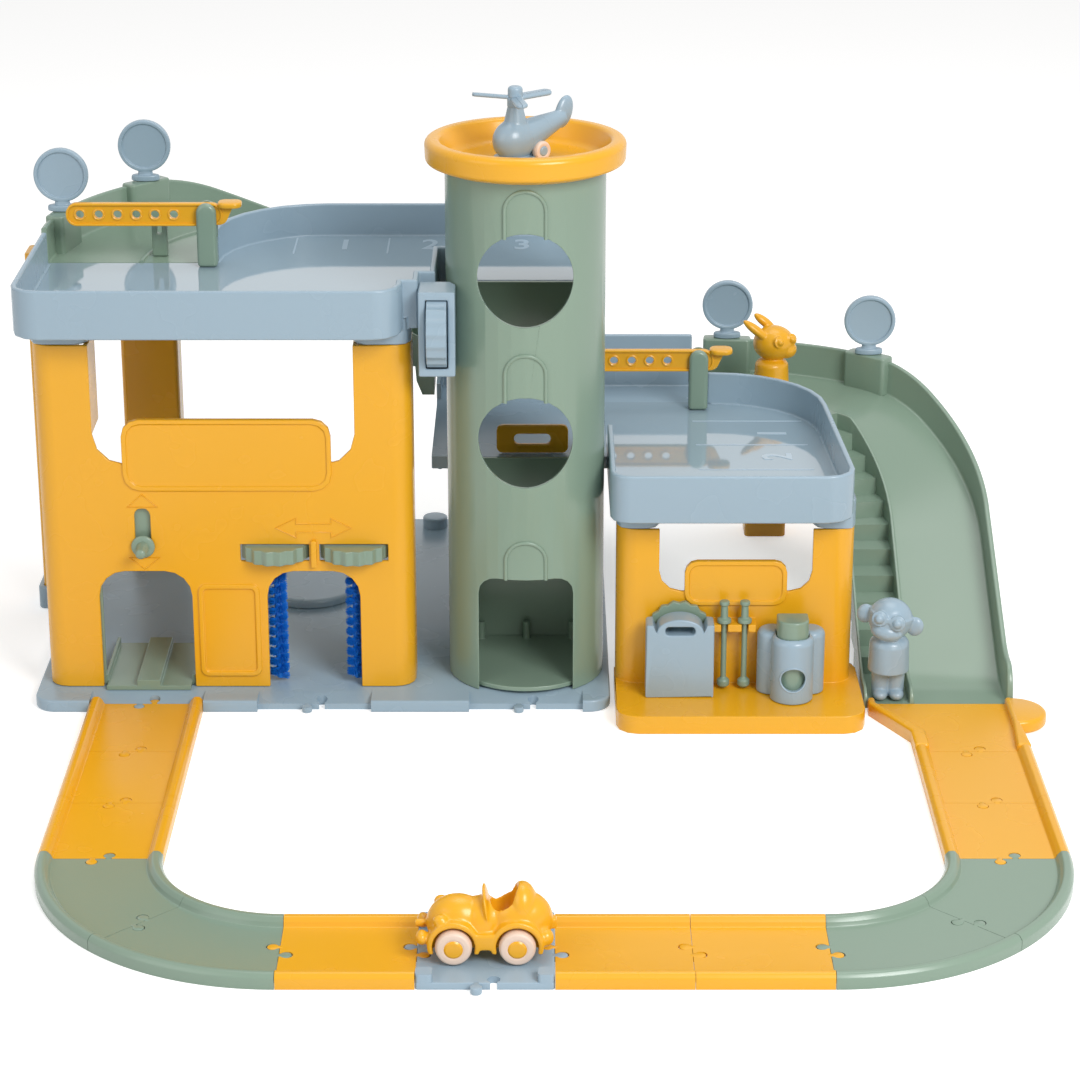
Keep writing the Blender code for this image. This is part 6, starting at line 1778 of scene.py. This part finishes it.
            extras.append(carve(socket, slab(hole, (thick, thick * 3))))
            across = Vector((turn.y - spot.y, spot.x - turn.x)).normalized() * 12 * MM
            web = [tuple(spot - across), tuple(spot + across), tuple(turn)]
            extras.append(slab(web, (0.5 * MM, thick - 0.5 * MM)))
        boss = [(0.0, 16 * MM, 0.0), (9 * MM, 16 * MM, 1.5 * MM), (9 * MM, 1 * MM, 0.0), (0.0, 1 * MM, 0.0)]
        extras.append(spun(round_profile(boss), (*self.boss, 0.0), steps=40))
        bm = joined(self._hooked(plate, ends, cuts), *extras)
        self.shop.finish("base_shape", bm, Tone.BLUE, "base_plate", sharp=TILE_SHARP)


@dataclass
class Wheels:
    """Sets of two wheels on an axle, with round tyres and raised hubs.

    Args:
        shop: Workshop that finishes them.
        radius: Radius of a tyre.
        width: Width of a tyre.
        reach: Distance from the middle of the axle to the outer side of a wheel.
        hub_tone: Colour of the hubs.
    """

    shop: Workshop
    radius: float
    width: float
    reach: float
    hub_tone: Tone

    def tyre(self) -> Shape:
        """Round-shouldered tyre about Z, centred on the origin.

        Returns:
            The tyre's shape.
        """
        radius, half = self.radius, self.width / 2
        profile = [
            (radius * 0.52, half - 0.3 * MM, 0.0),
            (radius * 0.62, half, 0.4 * MM),
            (radius * 0.9, half, radius * 0.16),
            (radius, half * 0.35, radius * 0.3),
            (radius, -half * 0.35, radius * 0.3),
            (radius * 0.9, -half, radius * 0.16),
            (radius * 0.62, -half, 0.4 * MM),
            (radius * 0.52, -half + 0.3 * MM, 0.0),
        ]
        ring = round_profile(profile, 5)
        return spun(ring + ring[:1], (0, 0, 0), Axis.Z, 56)

    def hub(self) -> Shape:
        """Raised round hub about Z, centred on the origin.

        Returns:
            The hub's shape.
        """
        radius, half = self.radius, self.width / 2
        profile = [
            (0.0, half + 0.5 * MM, 0.0),
            (radius * 0.42, half + 0.5 * MM, 0.8 * MM),
            (radius * 0.53, half - 0.4 * MM, 0.2 * MM),
            (radius * 0.53, -half + 0.4 * MM, 0.2 * MM),
            (radius * 0.42, -half - 0.5 * MM, 0.8 * MM),
            (0.0, -half - 0.5 * MM, 0.0),
        ]
        return spun(round_profile(profile, 4), (0, 0, 0), Axis.Z, 40)

    def pair(self, name: str, node: str, body: str, place: Matrix) -> None:
        """Make the tyres, hubs and axle of one set.

        Args:
            name: Name of the set.
            node: Node that it replaces.
            body: Body that it rides on.
            place: Place of the axle's middle, with the axle along its Y.
        """
        turn = Axis.Y.value
        tyres, hubs = [], []
        for side in (-1, 1):
            spot = place @ Matrix.Translation((0, side * (self.reach - self.width / 2), 0)) @ turn
            for shapes, shape in ((tyres, self.tyre()), (hubs, self.hub())):
                shape.transform(spot)
                shapes.append(shape)
        inside = self.reach - self.width
        axle = rod(1.5 * MM, (inside, -inside), (0, 0, 0), Axis.Z, 16)
        axle.transform(place @ turn)
        self.shop.finish(f"{name}_tyres", joined(*tyres), Tone.BEIGE, node, body)
        self.shop.finish(f"{name}_hubs", joined(*hubs, axle), self.hub_tone, body=body)


@dataclass
class Car:
    """Open roadster with round wings, a windscreen and a tall seat back."""

    shop: Workshop
    row_y: float = -386 * MM
    axle_z: float = 14.1 * MM
    axles: Pair = (-37 * MM, -3 * MM)

    def build(self) -> None:
        """Make the car's body and wheels."""
        self._body()
        wheels = Wheels(self.shop, 9.9 * MM, 8.0 * MM, 18.5 * MM, Tone.YELLOW)
        for end, x in zip(("front", "rear"), self.axles):
            place = Matrix.Translation((x, self.row_y, self.axle_z))
            wheels.pair(f"car_{end}", f"car_{end}_wheels", f"car_{end}_axle", place)

    def _body(self) -> None:
        """Body melted from round forms, with wheel arches and an open seat."""
        y, z = self.row_y, self.axle_z
        wing_z, arch_radius = z + 0.5 * MM, 11.4 * MM
        clay = Clay(0.55 * MM)
        clay.ball((-35 * MM, y, 22 * MM), (17 * MM, 13 * MM, 15.5 * MM))
        clay.ball((-22 * MM, y, 22 * MM), (14 * MM, 13 * MM, 14.5 * MM))
        clay.ball((-2 * MM, y, 24 * MM), (18 * MM, 13.5 * MM, 16 * MM))
        clay.block((-19 * MM, y, 18.5 * MM), (54 * MM, 20 * MM, 12 * MM))
        for side in (-1, 1):
            for x in self.axles:
                clay.peg((x, y + side * 6 * MM, wing_z), (x, y + side * 16.5 * MM, wing_z), 14.2 * MM)
            clay.block((-20 * MM, y + side * 12.5 * MM, 17 * MM), (24 * MM, 8 * MM, 9 * MM))
            clay.ball((-54 * MM, y + side * 10 * MM, 17.5 * MM), (3.5 * MM, 5 * MM, 4 * MM))
            clay.ball((12 * MM, y + side * 10 * MM, 17.5 * MM), (4.5 * MM, 5 * MM, 5 * MM))
            clay.ball((-44 * MM, y + side * 11.5 * MM, 28 * MM), (4.2 * MM, 3.6 * MM, 3.6 * MM))
        lean = Matrix.Rotation(math.radians(-8), 4, "Y")
        clay.ball((-19.5 * MM, y, 31 * MM), (1.9 * MM, 13 * MM, 12.6 * MM), lean)
        clay.ball((-0.5 * MM, y, 31 * MM), (8.5 * MM, 12 * MM, 14 * MM))
        clay.peg((-53 * MM, y, 21 * MM), (-58 * MM, y, 21 * MM), 2.2 * MM)
        clay.block((16 * MM, y, 21.5 * MM), (4 * MM, 6 * MM, 6 * MM))
        cuts = []
        for x in self.axles:
            for side in (-1, 1):
                cuts.append(rod(arch_radius, (side * 30 * MM, side * 8.2 * MM), (x, y, z), Axis.Y, 48))
        under = Clay()
        under.block((-20 * MM, y, 2.0 * MM), (100 * MM, 60 * MM, 16 * MM))
        seat = bmesh.new()
        size = Matrix.Diagonal((8.2 * MM, 8.8 * MM, 15 * MM, 1.0))
        place = Matrix.Translation((-9.5 * MM, y, 36 * MM)) @ size
        bmesh.ops.create_uvsphere(seat, u_segments=32, v_segments=20, radius=1.0, matrix=place)
        body = clay.melted(7, [*cuts, under.lump, seat])
        self.shop.finish("car_shell", body, Tone.YELLOW, "car_body", "car", MELTED_SHARP)


@dataclass
class Helicopter:
    """Small helicopter with a round cabin, a rising tail and a three-bladed rotor."""

    shop: Workshop
    yaw: float = 40.0
    floor: float = 346.6 * MM

    def build(self) -> None:
        """Make the helicopter's body, rotor and wheels."""
        turn = Matrix.Rotation(math.radians(self.yaw), 4, "Z")
        body = self._body()
        body.transform(turn)
        self.shop.finish("helicopter_shell", body, Tone.BLUE, "helicopter_body", "helicopter", MELTED_SHARP)
        rotor = self._rotor()
        rotor.transform(turn)
        self.shop.finish("helicopter_blades", rotor, Tone.BLUE, "helicopter_rotor", "rotor")
        place = turn @ Matrix.Translation((5 * MM, 0.0, self.floor + 6 * MM))
        wheels = Wheels(self.shop, 6 * MM, 5.2 * MM, 12 * MM, Tone.BLUE)
        wheels.pair("helicopter", "helicopter_wheels", "helicopter_axle", place)

    def _body(self) -> Shape:
        """Cabin, tail and mast melted together.

        Returns:
            The body's shape, before it is turned.
        """
        middle = self.floor + 14 * MM
        clay = Clay(0.45 * MM)
        clay.ball((-9 * MM, 0.0, middle), (14.5 * MM, 11.5 * MM, 13.0 * MM))
        clay.peg((-9 * MM, 0.0, self.floor + 2.2 * MM), (-9 * MM, 0.0, self.floor + 4.0 * MM), 13.0 * MM)
        clay.peg((-2 * MM, 0.0, middle + 1 * MM), (30 * MM, 0.0, middle + 9 * MM), 10.5 * MM, 4.8 * MM)
        lean = Matrix.Rotation(0.35, 4, "Y")
        clay.ball((31 * MM, 0.0, middle + 12 * MM), (6.5 * MM, 3.2 * MM, 10.5 * MM), lean)
        clay.block((5 * MM, 0.0, self.floor + 7 * MM), (9 * MM, 11.5 * MM, 9 * MM))
        clay.peg((-8 * MM, 0.0, middle + 9 * MM), (-8 * MM, 0.0, middle + 21.5 * MM), 7.5 * MM, 4.6 * MM)
        body = clay.melted(5)
        low = min(vert.co.z for vert in body.verts)
        bmesh.ops.translate(body, vec=(0, 0, self.floor + 0.1 * MM - low), verts=body.verts)
        return body

    def _rotor(self) -> Shape:
        """Three rounded blades under a domed cap.

        Returns:
            The rotor's shape, before it is turned.
        """
        low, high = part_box("helicopter_rotor")
        centre = -8 * MM
        cap = [
            (0.0, high.z, 0.0),
            (4.6 * MM, high.z, 4.2 * MM),
            (4.6 * MM, high.z - 6.5 * MM, 0.5 * MM),
            (4.2 * MM, high.z - 7 * MM, 0.3 * MM),
            (5.0 * MM, high.z - 7.5 * MM, 0.5 * MM),
            (5.0 * MM, low.z, 0.5 * MM),
            (0.0, low.z, 0.0),
        ]
        parts = [spun(round_profile(cap, 6), (centre, 0.0, 0.0), Axis.Z, 40)]
        for index in range(3):
            outline = rounded_box_outline((1 * MM, 28 * MM), (-3.6 * MM, 3.6 * MM), 3.5 * MM, 8)
            blade = slab(outline, (-1.2 * MM, 1.2 * MM), Plane.XY, 1.0 * MM)
            spin = Matrix.Rotation(math.tau * index / 3, 4, "Z") @ Matrix.Rotation(math.radians(10), 4, "X")
            blade.transform(Matrix.Translation((centre, 0, high.z - 7.2 * MM)) @ spin)
            parts.append(blade)
        return joined(*parts)


@dataclass
class Figures:
    """Two small driver animals with round goggles."""

    shop: Workshop
    monkey_place: Triple = (232 * MM, -41 * MM, 4.3 * MM)
    rabbit_place: Triple = (171 * MM, 200 * MM, 127.3 * MM)

    def build(self) -> None:
        """Make both figures."""
        self._monkey()
        self._rabbit()

    def _legs(self, clay: Clay, x: float, y: float, low: float, waist: float, radius: float) -> None:
        """Legs with round shoes.

        Args:
            clay: Clay that they are added to.
            x: Middle of the figure across the garage.
            y: Middle of the figure from front to back.
            low: Height that it stands on.
            waist: Length of the legs.
            radius: Radius of the figure's waist.
        """
        for side in (-1, 1):
            leg = x + side * radius * 0.42
            clay.peg((leg, y, low + 1 * MM), (leg, y, low + waist), radius * 0.46)
            clay.ball((leg + side * 0.5 * MM, y - 2.5 * MM, low + 3.2 * MM), (4.4 * MM, 6.0 * MM, 3.6 * MM))

    def _goggles(self, clay: Clay, spots: Sequence[Sequence[float]], facing: Vector, radius: float) -> None:
        """Two round goggle rims with a lens in each.

        Args:
            clay: Clay that they are added to.
            spots: Middle of each rim.
            facing: Direction that they look in.
            radius: Radius of a rim.
        """
        for spot in spots:
            centre = Vector(spot)
            clay.peg(centre - facing * 2 * MM, centre + facing * 1.6 * MM, radius)
            clay.ball(centre + facing * 1.6 * MM, (radius * 0.62,) * 3)

    def _monkey(self) -> None:
        """Round-eared figure at the foot of the stairs, with its head tilted."""
        x, y, low = self.monkey_place
        clay = Clay()
        for side in (-1, 1):
            leg = x + side * 4.6 * MM
            clay.peg((leg, y, low + 1 * MM), (leg, y, low + 21 * MM), 5.6 * MM, 6.2 * MM)
            clay.ball((x + side * 5.2 * MM, y - 4.5 * MM, low + 3.4 * MM), (4.8 * MM, 6.4 * MM, 3.8 * MM))
        clay.peg((x, y, low + 19 * MM), (x, y, low + 37 * MM), 13.2 * MM, 12.6 * MM)
        clay.ball((x, y, low + 37 * MM), (12.6 * MM, 12.2 * MM, 6.5 * MM))
        turn = Matrix.Rotation(math.radians(11), 4, "Y") @ Matrix.Rotation(math.radians(-14), 4, "Z")
        pose = Matrix.Translation((x, y, low + 53.6 * MM)) @ turn

        def spot(*place: float) -> Vector:
            """Point of the head, from millimetres in its own frame."""
            return pose @ (Vector(place) * MM)

        clay.ball(spot(0, 0, 0), (14.2 * MM, 13.4 * MM, 13.4 * MM), turn)
        clay.peg(spot(0, 0.3, 1.0), spot(0, 0.3, 4.2), 14.4 * MM)
        clay.ball(spot(0, -6.5, -6.4), (10.6 * MM, 8.4 * MM, 6.4 * MM), turn)
        for side in (-1, 1):
            clay.ball(spot(side * 16.2, 1.5, -1.5), (5.6 * MM, 3.0 * MM, 6.4 * MM), turn)
        facing = (turn @ Vector((0.0, -1.0, 0.08))).normalized()
        self._goggles(clay, (spot(-5.9, -12.6, 2.6), spot(5.9, -12.6, 2.6)), facing, 5.0 * MM)
        self.shop.finish("monkey_shape", clay.melted(3), Tone.BLUE, "monkey_figure", "monkey", MELTED_SHARP)

    def _rabbit(self) -> None:
        """Long-eared figure at the head of the lane."""
        x, y, low = self.rabbit_place
        clay = Clay()
        self._legs(clay, x, y, low, 13 * MM, 10.5 * MM)
        clay.peg((x, y, low + 11 * MM), (x, y, low + 25 * MM), 12.4 * MM, 11.6 * MM)
        clay.ball((x, y, low + 25 * MM), (11.6 * MM, 11.6 * MM, 6.0 * MM))
        head = low + 41 * MM
        clay.ball((x + 1 * MM, y, head), (14.4 * MM, 13.0 * MM, 12.4 * MM))
        clay.ball((x + 10 * MM, y - 2 * MM, head - 4 * MM), (7 * MM, 7.5 * MM, 6.4 * MM))
        lean = Matrix.Rotation(math.radians(-52), 4, "Y")
        clay.ball((x - 11 * MM, y - 6 * MM, head + 10 * MM), (3.2 * MM, 4.6 * MM, 12.5 * MM), lean)
        clay.ball((x - 5 * MM, y + 7 * MM, head + 13 * MM), (3.2 * MM, 4.2 * MM, 9.5 * MM), lean)
        facing = Vector((0.55, -0.8, 0.2)).normalized()
        near_eye = (x + 3.5 * MM, y - 11.0 * MM, head + 3.5 * MM)
        far_eye = (x + 12.5 * MM, y - 5.5 * MM, head + 4.0 * MM)
        self._goggles(clay, (near_eye, far_eye), facing, 4.2 * MM)
        self.shop.finish("rabbit_shape", clay.melted(4), Tone.YELLOW, "rabbit_figure", "rabbit", MELTED_SHARP)


def corners(box: Sequence[Vector]) -> list[list[float]]:
    """Plain lists of a box's lowest and highest corners."""
    return [[float(value) for value in corner] for corner in box]


def main() -> None:
    """Build the studio and every piece."""
    logging.basicConfig(level=logging.INFO, format="%(message)s")
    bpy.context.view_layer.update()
    shop = Workshop()
    shop.prepare()
    Studio().build()
    for assembly in (
        LeftBuilding(shop),
        Tower(shop),
        Decks(shop),
        Station(shop),
        Track(shop),
        Car(shop),
        Helicopter(shop),
        Figures(shop),
    ):
        assembly.build()
        LOG.info("%s is built", type(assembly).__name__)
    LOG.info("%d pieces in all", shop.made)


if __name__ == "__main__":
    main()
